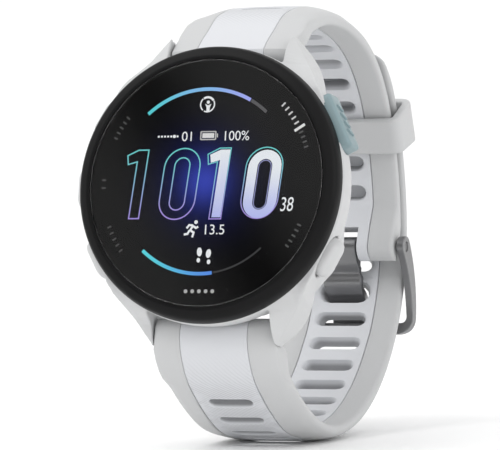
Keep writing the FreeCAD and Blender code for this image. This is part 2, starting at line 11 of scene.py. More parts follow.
import bmesh
import bpy
from bpy.props import FloatProperty, FloatVectorProperty, PointerProperty
from mathutils import Matrix, Vector


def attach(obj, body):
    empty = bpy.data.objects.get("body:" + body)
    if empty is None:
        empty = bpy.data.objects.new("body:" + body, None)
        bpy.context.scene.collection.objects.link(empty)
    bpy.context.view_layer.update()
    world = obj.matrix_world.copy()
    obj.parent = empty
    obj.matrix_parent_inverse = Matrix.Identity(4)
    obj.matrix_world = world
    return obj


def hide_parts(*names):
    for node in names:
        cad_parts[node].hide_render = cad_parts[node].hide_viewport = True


bl_info = {
    "name": "Running watch",
    "version": (1, 0, 0),
    "blender": (4, 5, 0),
    "location": "View3D > Sidebar > Watch",
    "description": "Builds the looks of a running watch on its CAD frame",
    "category": "Object",
}

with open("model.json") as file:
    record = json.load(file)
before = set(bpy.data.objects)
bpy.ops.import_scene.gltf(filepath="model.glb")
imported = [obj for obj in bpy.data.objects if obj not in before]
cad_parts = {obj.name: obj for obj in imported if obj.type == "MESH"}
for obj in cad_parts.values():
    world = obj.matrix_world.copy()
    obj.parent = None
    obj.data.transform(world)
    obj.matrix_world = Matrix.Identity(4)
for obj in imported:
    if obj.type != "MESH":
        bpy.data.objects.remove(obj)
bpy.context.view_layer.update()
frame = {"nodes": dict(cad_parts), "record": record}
NODES = frame["nodes"]
MOUNTS = {m["name"]: m for m in frame["record"]["mounts"]}
LENS_MIDDLE = Vector(MOUNTS["lens_face"]["pos_m"])
LENS_AXIS = Vector(MOUNTS["lens_face"]["axis"])
LEAN = -math.atan2(LENS_AXIS.z, -LENS_AXIS.y)
PLACE = Matrix.Translation(LENS_MIDDLE) @ Matrix.Rotation(LEAN, 4, "X") @ Matrix.Scale(0.001, 4)
MM = 0.001


# ---------------------------------------------------------------- settings
def colour(name, note, value):
    return FloatVectorProperty(
        name=name, description=note, subtype="COLOR", size=3, min=0, max=1, default=value
    )


def length(name, note, value):
    return FloatProperty(name=name, description=note, default=value, min=0.0, max=10.0, unit="NONE")


def strength(name, note, value, unit="NONE"):
    return FloatProperty(name=name, description=note, default=value, min=0, unit=unit)


class WatchSizes(bpy.types.PropertyGroup):
    crown: length("Crown", "How much lower the strap's edges lie than its middle, mm", 1.0)
    proud: length("Proud", "How far the outer face swells near the housing, mm", 0.7)
    groove: length("Groove", "Rounding beside the lines between the strap's bands, mm", 0.26)
    hatch_pitch: length("Hatch pitch", "Distance between the engraved lines of the middle band, mm", 0.6)
    hatch_depth: length("Hatch depth", "Depth of the engraved lines, mm", 0.045)
    case_rounding: length("Housing rounding", "Cell size of the softened housing, mm", 0.17)
    metal_rounding: length("Buckle rounding", "Cell size of the softened buckle, mm", 0.1)


class WatchColours(bpy.types.PropertyGroup):
    housing: colour("Housing", "Housing and lugs", (0.53, 0.535, 0.54))
    bezel: colour("Bezel", "Bezel ring", (0.0035, 0.0035, 0.0038))
    strap_middle: colour("Strap middle", "Light middle band of the strap", (0.61, 0.62, 0.645))
    strap_edge: colour("Strap edges", "Edge bands and keeper", (0.51, 0.515, 0.52))
    start: colour("Start button", "Upper right button", (0.20, 0.28, 0.30))
    button: colour("Buttons", "The other four buttons", (0.52, 0.525, 0.53))
    metal: colour("Buckle", "Buckle frame, tongue and pin", (0.25, 0.25, 0.255))
    teal: colour("Dial teal", "Upper end of the dial's colour run", (0.16, 0.62, 0.62))
    violet: colour("Dial violet", "Lower end of the dial's colour run", (0.36, 0.27, 0.72))
    glow: colour("Dial glow", "Glow behind the digits", (0.03, 0.045, 0.33))


class WatchStage(bpy.types.PropertyGroup):
    floor: colour("Floor", "Floor and backdrop", (0.97, 0.97, 0.97))
    sky: strength("Soft light", "Strength of the light from all round", 0.96)
    key: strength("Key light", "Power of the large lamp", 3.2, "POWER")
    fill: strength("Fill light", "Power of the side lamp", 1.0, "POWER")


def sizes():
    return bpy.context.scene.watch_sizes


def colours():
    return bpy.context.scene.watch_colours


# ---------------------------------------------------------------- shader groups
def shader_group(name, inputs, outputs):
    """An empty node group with its number sockets, and its input and output nodes."""
    group = bpy.data.node_groups.new(name, "ShaderNodeTree")
    for label, value in inputs:
        socket = group.interface.new_socket(label, in_out="INPUT", socket_type="NodeSocketFloat")
        socket.default_value = value
    for label in outputs:
        group.interface.new_socket(label, in_out="OUTPUT", socket_type="NodeSocketFloat")
    return group, group.nodes.new("NodeGroupInput"), group.nodes.new("NodeGroupOutput")


def join(tree, start, end):
    tree.links.new(end, start)


def maths(tree, what, *values):
    """A math node fed with sockets or numbers; gives back its output."""
    node = tree.nodes.new("ShaderNodeMath")
    node.operation = what
    for slot, value in enumerate(values):
        if isinstance(value, (int, float)):
            node.inputs[slot].default_value = value
        else:
            join(tree, value, node.inputs[slot])
    return node.outputs[0]


def grain_group():
    """Fine moulded grain: a height for a bump and a roughness that varies a little."""
    inputs = (("Scale", 9000.0), ("Roughness", 0.5))
    group, start, end = shader_group("moulded_grain", inputs, ("Height", "Roughness"))
    place = group.nodes.new("ShaderNodeTexCoord")
    fine = group.nodes.new("ShaderNodeTexNoise")
    fine.inputs["Detail"].default_value = 3.0
    broad = group.nodes.new("ShaderNodeTexNoise")
    broad.inputs["Scale"].default_value = 220.0
    for node in (fine, broad):
        join(group, place.outputs["Object"], node.inputs["Vector"])
    join(group, start.outputs["Scale"], fine.inputs["Scale"])
    join(group, fine.outputs[0], end.inputs["Height"])
    spread = maths(group, "MULTIPLY_ADD", broad.outputs[0], 0.12, -0.06)
    join(group, maths(group, "ADD", start.outputs["Roughness"], spread), end.inputs["Roughness"])
    return group


def brushed_group():
    """Brushed metal: streaks across the width, as a height and a roughness."""
    inputs = (("Scale", 900.0), ("Roughness", 0.3))
    group, start, end = shader_group("brushed_streaks", inputs, ("Height", "Roughness"))
    place = group.nodes.new("ShaderNodeTexCoord")
    stretch = group.nodes.new("ShaderNodeMapping")
    stretch.inputs["Scale"].default_value = (8.0, 8.0, 0.25)
    streaks = group.nodes.new("ShaderNodeTexNoise")
    streaks.inputs["Detail"].default_value = 4.0
    join(group, place.outputs["Object"], stretch.inputs["Vector"])
    join(group, stretch.outputs[0], streaks.inputs["Vector"])
    join(group, start.outputs["Scale"], streaks.inputs["Scale"])
    join(group, streaks.outputs[0], end.inputs["Height"])
    spread = maths(group, "MULTIPLY", streaks.outputs[0], 0.2)
    join(group, maths(group, "ADD", start.outputs["Roughness"], spread), end.inputs["Roughness"])
    return group


def hatch_group():
    """Fine slanting lines engraved in the strap, with painted shade in the lines and on its slot walls, from
    the strap's marks.

    The marks hold the distance along the strap, the place across it, and how deep the lines are
    there, and -1 on a slot's walls, which get painted shade.
    """
    outputs = ("Height", "Mask", "Slot shade")
    group, start, end = shader_group("engraved_hatch", (("Pitch", 0.6),), outputs)
    marks = group.nodes.new("ShaderNodeAttribute")
    marks.attribute_name = "marks"
    parts = group.nodes.new("ShaderNodeSeparateXYZ")
    join(group, marks.outputs["Vector"], parts.inputs[0])
    along, across, engraved = parts.outputs
    slant = maths(group, "MULTIPLY", across, 0.75)
    run = maths(group, "DIVIDE", maths(group, "ADD", along, slant), start.outputs["Pitch"])
    wave = maths(group, "SINE", maths(group, "MULTIPLY", run, 2 * math.pi))
    line = maths(group, "POWER", maths(group, "MULTIPLY_ADD", wave, 0.5, 0.5), 3.0)
    # this mask darkens the cut lines as painted shade
    mask = maths(group, "MULTIPLY", line, maths(group, "MAXIMUM", engraved, 0.0))
    join(group, mask, end.inputs["Mask"])
    # a slot's -1 mark becomes painted shade on its walls
    join(group, maths(group, "MULTIPLY", engraved, -1.0), end.inputs["Slot shade"])
    join(group, maths(group, "SUBTRACT", 1.0, mask), end.inputs["Height"])
    return group


GROUPS = {}


def group_named(name):
    makers = {"grain": grain_group, "brushed": brushed_group, "hatch": hatch_group}
    if name not in GROUPS:
        GROUPS[name] = makers[name]()
    return GROUPS[name]


MATERIALS = {}


def tinted_mix(tree, factor, start, share, tint):
    """A mix from a colour or socket to a darker share of the tint."""
    mix = tree.nodes.new("ShaderNodeMix")
    mix.data_type = "RGBA"
    if isinstance(start, tuple):
        mix.inputs["A"].default_value = start
    else:
        join(tree, start, mix.inputs["A"])
    mix.inputs["B"].default_value = (*(share * c for c in tint), 1.0)
    join(tree, factor, mix.inputs["Factor"])
    return mix.outputs["Result"]


def engrave_and_shade(tree, skin, tint, normal):
    """Adds the hatch to a material: painted shade in the cut lines and on the slot walls; gives back the new
    normal.
    """
    lines = tree.nodes.new("ShaderNodeGroup")
    lines.node_tree = group_named("hatch")
    lines.inputs["Pitch"].default_value = sizes().hatch_pitch
    relief = tree.nodes.new("ShaderNodeBump")
    relief.inputs["Distance"].default_value = sizes().hatch_depth * MM
    join(tree, lines.outputs["Height"], relief.inputs["Height"])
    join(tree, normal, relief.inputs["Normal"])
    # painted shade: the engraved lines are darkened in colour
    lined = tinted_mix(tree, lines.outputs["Mask"], (*tint, 1.0), 0.74, tint)
    # painted shade: the slot walls are darkened in colour
    shaded = tinted_mix(tree, lines.outputs["Slot shade"], lined, 0.55, tint)
    join(tree, shaded, skin.inputs["Base Color"])
    return relief.outputs[0]


def material(
    name, tint, rough, metallic=0.0, coat=0.0, texture="grain", scale=9000.0, bump=0.02,
    hatch=False, shine=0.5,
):
    """A procedural surface: grain or brushed streaks in roughness and normal."""
    if name in MATERIALS:
        return MATERIALS[name]
    made = bpy.data.materials.new(name)
    made.use_nodes = True
    tree = made.node_tree
    skin = tree.nodes["Principled BSDF"]
    skin.inputs["Base Color"].default_value = (*tint, 1.0)
    skin.inputs["Metallic"].default_value = metallic
    skin.inputs["Coat Weight"].default_value = coat
    skin.inputs["Coat Roughness"].default_value = 0.12
    skin.inputs["Specular IOR Level"].default_value = shine
    detail = tree.nodes.new("ShaderNodeGroup")
    detail.node_tree = group_named(texture)
    detail.inputs["Scale"].default_value = scale
    detail.inputs["Roughness"].default_value = rough
    join(tree, detail.outputs["Roughness"], skin.inputs["Roughness"])
    relief = tree.nodes.new("ShaderNodeBump")
    relief.inputs["Distance"].default_value = bump * MM
    join(tree, detail.outputs["Height"], relief.inputs["Height"])
    normal = relief.outputs[0]
    if hatch:
        normal = engrave_and_shade(tree, skin, tint, normal)
    join(tree, normal, skin.inputs["Normal"])
    MATERIALS[name] = made
    return made


def lit_material(name):
    """A glowing surface whose colour comes from the mesh's marks."""
    made = bpy.data.materials.new(name)
    made.use_nodes = True
    tree = made.node_tree
    skin = tree.nodes["Principled BSDF"]
    skin.inputs["Base Color"].default_value = (0.002, 0.002, 0.002, 1.0)
    skin.inputs["Roughness"].default_value = 0.35
    skin.inputs["Specular IOR Level"].default_value = 0.0
    skin.inputs["Emission Strength"].default_value = 1.0
    marks = tree.nodes.new("ShaderNodeAttribute")
    marks.attribute_name = "marks"
    join(tree, marks.outputs["Color"], skin.inputs["Emission Color"])
    return made


def clear_glass(name):
    made = bpy.data.materials.new(name)
    made.use_nodes = True
    skin = made.node_tree.nodes["Principled BSDF"]
    skin.inputs["Base Color"].default_value = (1.0, 1.0, 1.0, 1.0)
    skin.inputs["Metallic"].default_value = 0.0
    skin.inputs["Transmission Weight"].default_value = 1.0
    skin.inputs["Roughness"].default_value = 0.0
    skin.inputs["IOR"].default_value = 1.5
    return made


def steel():
    return material("steel", (0.45, 0.45, 0.46), 0.3, metallic=1.0, texture="brushed")


def silicone_middle():
    return material("silicone_white", colours().strap_middle, 0.55, scale=7000.0, bump=0.012, hatch=True)


def silicone_edge():
    return material("silicone_grey", colours().strap_edge, 0.5, scale=7000.0, bump=0.012)


# ---------------------------------------------------------------- mesh helpers
class Shell:
    """Points, each (x, y, z) and up to three marks, and faces, gathered before they become a mesh."""

    def __init__(self):
        self.points, self.faces = [], []

    def grid(self, rows, around=False):
        """Quads between rows of equally many points."""
        first, wide = len(self.points), len(rows[0])
        for row in rows:
            self.points += [(*p, 0.0, 0.0, 0.0)[:6] for p in row]
        for i in range(len(rows) - 1):
            for j in range(wide if around else wide - 1):
                a = first + i * wide + j
                b = first + i * wide + (j + 1) % wide
                self.faces.append((a, b, b + wide, a + wide))

    def face(self, loop):
        first = len(self.points)
        self.points += [(*p, 0.0, 0.0, 0.0)[:6] for p in loop]
        self.faces.append(tuple(range(first, first + len(loop))))

    def make(self, name, surface, sharp=38.0, closed=True):
        """The mesh object, with neighbouring points joined and normals outwards."""
        mesh = bpy.data.meshes.new(name)
        mesh.from_pydata([PLACE @ Vector(p[:3]) for p in self.points], [], self.faces)
        marks = mesh.attributes.new("marks", "FLOAT_VECTOR", "POINT")
        marks.data.foreach_set("vector", [v for p in self.points for v in p[3:6]])
        if closed:
            work = bmesh.new()
            work.from_mesh(mesh)
            bmesh.ops.remove_doubles(work, verts=work.verts, dist=0.002 * MM)
            bmesh.ops.recalc_face_normals(work, faces=work.faces)
            work.to_mesh(mesh)
            work.free()
        mesh.shade_smooth()
        mesh.set_sharp_from_angle(angle=math.radians(sharp))
        mesh.materials.append(surface)
        obj = bpy.data.objects.new(name, mesh)
        bpy.context.scene.collection.objects.link(obj)
        return obj


def settle(obj, body, slot, *nodes):
    """Ties a finished piece to its body and hides the CAD nodes that it stands for; its slot is not used."""
    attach(obj, body)
    if nodes:
        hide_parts(*nodes)


def soften(corners, radius, steps=4):
    """A closed outline with its corners rounded. A corner may carry its own radius."""
    found = []
    count = len(corners)
    for i, corner in enumerate(corners):
        r = corner[2] if len(corner) > 2 else radius
        here = Vector(corner[:2])
        before = Vector(corners[i - 1][:2]) - here
        after = Vector(corners[(i + 1) % count][:2]) - here
        reach = min(r, before.length * 0.49, after.length * 0.49)
        if reach < 1e-6:
            found.append(tuple(here))
            continue
        a = here + before.normalized() * reach
        b = here + after.normalized() * reach
        for k in range(steps + 1):
            t = k / steps
            found.append(tuple(a * (1 - t) ** 2 + here * 2 * t * (1 - t) + b * t**2))
    return found


def rectangle(x, z, wide, tall):
    """The corners of a rectangle, given by its middle and half sizes."""
    return [(x + i * wide, z + k * tall) for i, k in ((-1, -1), (1, -1), (1, 1), (-1, 1))]


TURNS = 144  # flats round anything turned


def lathe(profile):
    """A closed (radius, depth) outline turned about the depth axis."""
    shell = Shell()
    rows = []
    for i in range(TURNS + 1):
        a = 2 * math.pi * i / TURNS
        rows.append([(r * math.cos(a), y, r * math.sin(a)) for r, y in profile])
    shell.grid(rows, around=True)
    return shell


def obround(half_length, half_width, ends=6, flats=10):
    """A slot-shaped loop, starting at its lower right corner and going round by the right."""
    flat = max(half_length - half_width, 0.0)
    loop = []
    for i in range(ends):
        a = math.pi * (i / ends - 0.5)
        loop.append((flat + half_width * math.cos(a), half_width * math.sin(a)))
    loop += [(flat - 2 * flat * i / flats, half_width) for i in range(flats)]
    return loop + [(-x, -y) for x, y in loop]


def smooth(value):
    value = min(max(value, 0.0), 1.0)
    return value * value * (3 - 2 * value)


# ---------------------------------------------------------------- the strap's side shape
UPPER_START, UPPER_HEADING = (7.3, 22.8), 48.2
UPPER_RUNS = ((28.7, -34.8), (38.4, -24.2), (25.1, -41.7), (43.3, -28.2))
LOWER_START, LOWER_HEADING = (4.347, -23.135), -45.11
LOWER_RUNS = ((43.85, 32.41), (28.6, 33.44), (36.06, 42.24), (32.76, 36.32))
TAIL_RUNS = ((46.3, 28.2), (28.1, 24.0))
THICK, TAIL_THICK = 2.6, 2.4
PIN = (58.9, -0.3)
CORE_HALF = 5.6
SLOT_PITCH, SLOT_HALF, SLOT_RISE = 5.25, 4.1, 1.15
FIRST_SLOT, TONGUE_SLOT = 14.4, 77.2  # along the upper half, and along the lower half
LUG_INNER = 10.2
FRONT_HALF, BACK_HALF = 10.3, 10.0
LUG_TIP = 24.3
UPPER_ROOT, LOWER_ROOT, ROOT_RADIUS, EYE_RADIUS = (9.0, 21.9), (9.0, -21.9), 2.2, 2.4
TAPER = 9  # the length over which the tail thins
CROWN_DEPTH = 1.7  # how deep the flattening of the crown at the strap's root reaches


def arcs_of(start, heading, runs):
    """Each run as (middle, radius, angle of its start, turn, distance at its start)."""
    at, towards, gone, found = Vector(start), math.radians(heading), 0.0, []
    for radius, turn in runs:
        side = math.copysign(1, turn)
        turn = math.radians(turn)
        middle = at + Vector((-math.sin(towards), math.cos(towards))) * side * radius
        begin = math.atan2(at.y - middle.y, at.x - middle.x)
        found.append((middle, radius, begin, turn, gone))
        towards += turn
        gone += radius * abs(turn)
        at = middle + Vector((math.cos(begin + turn), math.sin(begin + turn))) * radius
    return found, gone


def ring_point(middle, radius, degrees):
    a = math.radians(degrees)
    return Vector(middle) + Vector((math.cos(a), math.sin(a))) * radius


def ring_pairs(middle, radius, angles):
    """Outer and inner points on one ring, for pairs of angles."""
    return [(ring_point(middle, radius, o), ring_point(middle, radius, i)) for o, i in angles]


class Side:
    """The strap seen from the side: pairs of outer and inner points by distance along it."""

    slant = 1  # which way the engraved lines lean

    def __init__(self, arcs, length, thick_at, first, last, step=0.65):
        self.table = []
        count = int((last - first) / step)
        for i in range(count + 1):
            s = first + (last - first) * i / count
            middle, radius, begin, turn, gone = [a for a in arcs if a[4] <= s + 1e-9][-1]
            a = begin + turn * (s - gone) / (radius * abs(turn))
            out = Vector((math.cos(a), math.sin(a)))
            self.table.append((s, middle + out * radius, middle + out * (radius - thick_at(s))))
        self.length = length

    def inner_line(self, stations):
        """Replaces the inner points between stations, given as (distance, point)."""
        for i, (s, outer, _) in enumerate(self.table):
            for (s0, p0), (s1, p1) in zip(stations, stations[1:]):
                if s0 <= s <= s1:
                    share = (s - s0) / max(s1 - s0, 1e-9)
                    self.table[i] = (s, outer, Vector(p0).lerp(Vector(p1), share))

    def add(self, pairs, at_end):
        """Adds pairs of points beyond an end, a step apart along the outer face."""
        for outer, inner in pairs:
            edge = self.table[-1] if at_end else self.table[0]
            step = max((Vector(outer) - edge[1]).length, 0.05)
            item = (edge[0] + (step if at_end else -step), Vector(outer), Vector(inner))
            self.table = [*self.table, item] if at_end else [item, *self.table]

    def ends(self):
        return self.table[0][0], self.table[-1][0]

    def at(self, s):
        keys = [row[0] for row in self.table]
        i = min(max(bisect.bisect_right(keys, s) - 1, 0), len(keys) - 2)
        s0, outer0, inner0 = self.table[i]
        s1, outer1, inner1 = self.table[i + 1]
        share = min(max((s - s0) / (s1 - s0), 0.0), 1.0)
        return outer0.lerp(outer1, share), inner0.lerp(inner1, share)

    def stations(self, low, high, most=0.9):
        """Distances between two limits at which sections are made."""
        inside = [low]
        for s, _, _ in self.table:
            if low + 0.05 < s < high - 0.05 and (s - inside[-1] >= most or s < 3 or s > self.length - 3):
                inside.append(s)
        return [*inside, high]

    def point(self, s, x, deep, engrave_and_shade=0.0):
        """A point deep millimetres below the outer face, or above the inner face if deep is negative."""
        outer, inner = self.at(s)
        thick = (inner - outer).length
        if thick < 1e-6:
            return (x, outer.x, outer.y, s, x, 0.0)
        scale = min(1.0, thick / TAIL_THICK)
        if deep >= 0:
            if deep < CROWN_DEPTH:
                deep *= 0.4 + 0.6 * smooth((s - 7) / 7)
            lift = self.lift(s) * (1 - smooth(deep / 1.4))
            share = (deep * scale - lift) / thick
        else:
            share = 1 + deep * scale / thick
        p = outer + (inner - outer) * share
        # the last mark holds the engraving depth, and -1 on slot walls that get painted shade
        return (x, p.x, p.y, s, self.slant * x, engrave_and_shade)

    def lift(self, s):
        """How far the outer face stands out where nothing lies on it."""
        return sizes().proud * smooth((s - 4) / 6) * (1 - smooth((s - 22) / 9))

    def half(self, s):
        """Half the strap's width: it narrows to the buckle and between the lugs."""
        outer, inner = self.at(s)
        middle = (outer + inner) / 2
        wide = FRONT_HALF + (BACK_HALF - FRONT_HALF) * smooth((middle.x - 10) / 52)
        if middle.x < 15:
            over = max(abs(middle.y) - LUG_TIP, 0.0)
            wide = min(wide, LUG_INNER - 0.2 + over * 1.2)
        if self.table[-1][0] > 100 and s > self.length - 4:
            wide -= 4 - math.sqrt(max(16 - (s - self.length + 4) ** 2, 0.0))
        return wide


def upper_side():
    """The buckle's half: root round its spring bar, even thickness, eye round the pin."""
    arcs, total = arcs_of(UPPER_START, UPPER_HEADING, UPPER_RUNS)
    side = Side(arcs, total, lambda s: THICK, 0.6, total)
    side.inner_line([(0.0, ring_point(UPPER_ROOT, ROOT_RADIUS, -15)), (9.0, side.at(9.0)[1])])
    side.inner_line([(total - 4.2, side.at(total - 4.2)[1]), (total, (57.3, 3.4))])
    steps = [(175 + 95 * k / 7, -15 - 75 * k / 7) for k in range(8)]
    side.add(ring_pairs(UPPER_ROOT, ROOT_RADIUS, steps), at_end=False)
    side.add([((61.5, 1.5), (56.8, 1.5)), ((61.3, -0.3), (56.5, -0.3))], at_end=True)
    steps = [(-15 * k, 180 + 15 * k) for k in range(1, 7)]
    side.add(ring_pairs(PIN, EYE_RADIUS, steps), at_end=True)
    return side


def lower_side():
    """The long half, whose tail lies on the upper half."""
    arcs, total = arcs_of(LOWER_START, LOWER_HEADING, (*LOWER_RUNS, *TAIL_RUNS))
    change = arcs[3][4]

    def thick_at(s):
        return THICK + (TAIL_THICK - THICK) * smooth((s - change + 2) / 4)

    first, bent = 3.4, 9.0
    side = Side(arcs, total, thick_at, first, total)
    side.slant = -1
    side.inner_line([(0.0, ring_point(LOWER_ROOT, ROOT_RADIUS, 15)), (10.4, side.at(10.4)[1])])
    joined = side.at(bent)[0]
    ahead = (side.at(9.2)[0] - joined).normalized()
    bend = [Vector((6.75, -22.3)), Vector((6.45, -24.4)), joined - ahead * 2.6, joined]
    for i, (s, outer, inner) in enumerate(side.table):
        t = (s - first) / 5.6
        if t < 1:
            terms = ((1 - t) ** 3, 3 * t * (1 - t) ** 2, 3 * t * t * (1 - t), t**3)
            outer = sum((p * w for p, w in zip(bend, terms)), Vector((0.0, 0.0)))
        short = total - s
        if short < TAPER:
            away = (inner - outer).normalized()
            outer = outer + away * 2.1 * smooth((9.5 - short) / 10)
        side.table[i] = (s, outer, inner)
    steps = [(185 - 95 * k / 7, 15 + 75 * k / 7) for k in range(8)]
    side.add(ring_pairs(LOWER_ROOT, ROOT_RADIUS, steps), at_end=False)
    return side


# ---------------------------------------------------------------- strap bands
BAND_X = (-5.38, -4.6, -3.7, -2.7, -1.35, 0.0, 1.35, 2.7, 3.7, 4.6, 5.38)
BAND_EDGE = BAND_X[-1]
NOTCH_HALF = 3.7
CENTRE_FALL = 0.1  # the crown's share of fall within the middle band


def band_crown(x):
    """How much lower the outer face lies at x than in the middle."""
    across = abs(x)
    if across <= CORE_HALF:
        return CENTRE_FALL * (across / CORE_HALF) ** 2
    return CENTRE_FALL + (sizes().crown - CENTRE_FALL) * ((across - CORE_HALF) / 4.7) ** 1.4


def core_edge(sign):
    """The rounded side of the middle band, from the outer face to the inner face."""
    g = sizes().groove
    low = band_crown(BAND_EDGE)
    wall = CORE_HALF - 0.03
    tops = [(BAND_EDGE + 0.5 * g, low + 0.3 * g), (wall, low + g)]
    feet = [(wall, -g), (BAND_EDGE + 0.5 * g, -0.3 * g)]
    return [(sign * x, d) for x, d in (*tops, *feet)]


def core_section(side, s, fade, xs=BAND_X, inset=0.0):
    """A closed section of the middle band at a distance along the strap."""
    shrink = 1 - inset / 6
    top = [(x, band_crown(x) + inset) for x in xs]
    right = core_edge(1) if xs[-1] > 5 else [(xs[-1], 0.4), (xs[-1], -0.4)]
    left = core_edge(-1) if xs[0] < -5 else [(xs[0], 0.4), (xs[0], -0.4)]
    bottom = [(x, -1e-5 - inset) for x in reversed(xs)]
    loop = [side.point(s, x * shrink, d, fade) for x, d in top]
    loop += [side.point(s, x * shrink, d) for x, d in (*right, *bottom, *reversed(left))]
    return loop


# how much a slot grows from its middle size at each depth: it opens towards the wrist
SLOT_WALL = (
    (-0.22, 0.03), (-0.42, 0.12), (-0.5, 0.4), (-0.1, 1.2), (0.15, -0.6), (0.3, -0.22), (0.55, -0.04)
)


def slot_cell(shell, side, middle, half, rise, fade):
    """One cell of the middle band with a rounded slot through it."""
    reach = SLOT_PITCH / 2
    frame_loop = [(BAND_EDGE, reach * (2 * i / 6 - 1)) for i in range(6)]
    frame_loop += [(x, reach) for x in reversed(BAND_X[1:])]
    frame_loop += [(-x, -y) for x, y in frame_loop]
    edge = obround(half - 0.1, rise + 0.27)
    rows = [[side.point(middle + y, x, band_crown(x), fade) for x, y in frame_loop]]
    rows.append([side.point(middle + y, x, band_crown(x), fade) for x, y in edge])
    for grow, deep in SLOT_WALL:
        loop = obround(half + grow, rise + 0.4 * grow + 0.03)
        # walls deep in a slot carry the mark for painted shade
        dark = -1.0 if deep > 0.2 else 0.0
        row = []
        for x, y in loop:
            fall = band_crown(x) if deep > 0 else 0
            row.append(side.point(middle + y, x, deep + fall, dark))
        rows.append(row)
    rows.append([side.point(middle + y, x, -1e-5) for x, y in frame_loop])
    shell.grid(rows, around=True)
    stops = [middle + reach * (2 * i / 6 - 1) for i in range(7)]
    for sign in (1, -1):
        edge = [(sign * BAND_EDGE, band_crown(BAND_EDGE)), *core_edge(sign), (sign * BAND_EDGE, -1e-5)]
        shell.grid([[side.point(s, x, d) for x, d in edge] for s in stops])


def core_shell(side, slots, notch_from=None):
    """The middle band: plain stretches, slot cells and, at the eye, two prongs beside the tongue."""
    shell = Shell()
    first, last = side.ends()
    end = last if notch_from is None else notch_from

    def fade(s):
        return smooth((s - 5) / 8)

    at = first
    for middle, half, rise in slots:
        low = middle - SLOT_PITCH / 2
        if low > at + 0.01:
            shell.grid([core_section(side, s, fade(s)) for s in side.stations(at, low)], around=True)
        slot_cell(shell, side, middle, half, rise, fade(middle))
        at = middle + SLOT_PITCH / 2
    if notch_from is None:
        tip = [core_section(side, s, 1.0) for s in side.stations(at, end - 0.3)]
        tip += [core_section(side, end - 0.1, 1.0, inset=0.1), core_section(side, end, 1.0, inset=0.35)]
        shell.grid(tip, around=True)
        shell.face(tip[-1])
        return shell
    shell.grid([core_section(side, s, 1.0) for s in side.stations(at, end)], around=True)
    inner = [x for x in BAND_X if abs(x) <= NOTCH_HALF]
    wall = [[side.point(end, x, band_crown(x)) for x in inner], [side.point(end, x, -1e-5) for x in inner]]
    shell.grid(wall)
    for xs in (BAND_X[:3], BAND_X[-3:]):
        shell.grid([core_section(side, s, 0.0, xs) for s in side.stations(end, last)], around=True)
    return shell


def edge_section(side, s, sign, inset=0.0):
    """A closed section of an edge band: rounded outside, a small rounding at the groove."""
    g = sizes().groove
    near = CORE_HALF + 0.03
    half = side.half(s)
    wide = max(half - near, 0.3)
    start = band_crown(near)
    loop = [(near, start + g), (near + 0.35 * g, start + 0.3 * g), (near + g, start)]
    loop += [(near + wide * k, band_crown(near + wide * k)) for k in (0.25, 0.45, 0.65, 0.8)]
    rim = band_crown(half)
    loop += [(half - 0.42, rim + 0.06), (half - 0.14, rim + 0.26), (half, rim + 0.62)]
    loop += [(half, -0.75), (half - 0.1, -0.34), (half - 0.34, -0.1), (half - 0.75, 0.0)]
    loop += [(near + g, 0.0), (near + 0.35 * g, -0.3 * g), (near, -g)]
    found = []
    for i, (x, d) in enumerate(loop):
        under = i >= 10
        x += inset * (0.4 if x < near + 0.5 else -1.0)
        d = (d if under else max(d, 0.0)) + (-inset if under else inset)
        found.append(side.point(s, sign * x, min(d, -1e-5) if under else d))
    return found


def edge_shell(side, sign):
    shell = Shell()
    first, last = side.ends()
    tail = last > 100
    rows = [edge_section(side, s, sign) for s in side.stations(first, last - (0.3 if tail else 0.0))]
    if tail:
        rows += [edge_section(side, last - 0.1, sign, 0.1), edge_section(side, last, sign, 0.35)]
    shell.grid(rows, around=True)
    if tail:
        shell.face(rows[-1])
    return shell


def strap_pieces(name, side, slots, body, notch_from=None):
    core = core_shell(side, slots, notch_from).make(name + "_middle_band", silicone_middle())
    settle(core, body, "silicone_white", name + "_core")
    for word, sign in (("right", 1), ("left", -1)):
        band = edge_shell(side, sign).make(f"{name}_{word}_band", silicone_edge())
        settle(band, body, "silicone_grey", f"{name}_edge_{word}")


# ---------------------------------------------------------------- operators
class WATCH_OT_front(bpy.types.Operator):
    """Builds the bezel and the lens glass"""

    bl_idname = "watch.front"
    bl_label = "Bezel and lens"

    def execute(self, context):
        corners = [
            (19.28, 0.02, 0.05),
            (19.75, 0.0, 0.2),
            (21.15, 0.55, 1.0),
            (21.5, 1.7, 0.6),
            (21.5, 2.7, 0.12),
            (18.3, 2.7, 0.0),
            (18.3, 1.36, 0.0),
            (19.28, 1.36, 0.0),
        ]
        surface = material("satin_bezel", colours().bezel, 0.45, scale=12000.0, bump=0.006, shine=0.16)
        bezel = lathe(soften(corners, 0.1, 6)).make("bezel", surface)
        settle(bezel, "case", "bezel", "bezel_ring")
        edge = [(19.2, 0.0, 0.22), (19.2, 1.1, 0.05), (0.0, 1.1, 0.0), (0.0, 0.0, 0.0)]
        glass = lathe(soften(edge, 0.1, 4)).make("lens", clear_glass("lens_glass"))
        settle(glass, "case", "lens", "lens_glass")
        return {"FINISHED"}


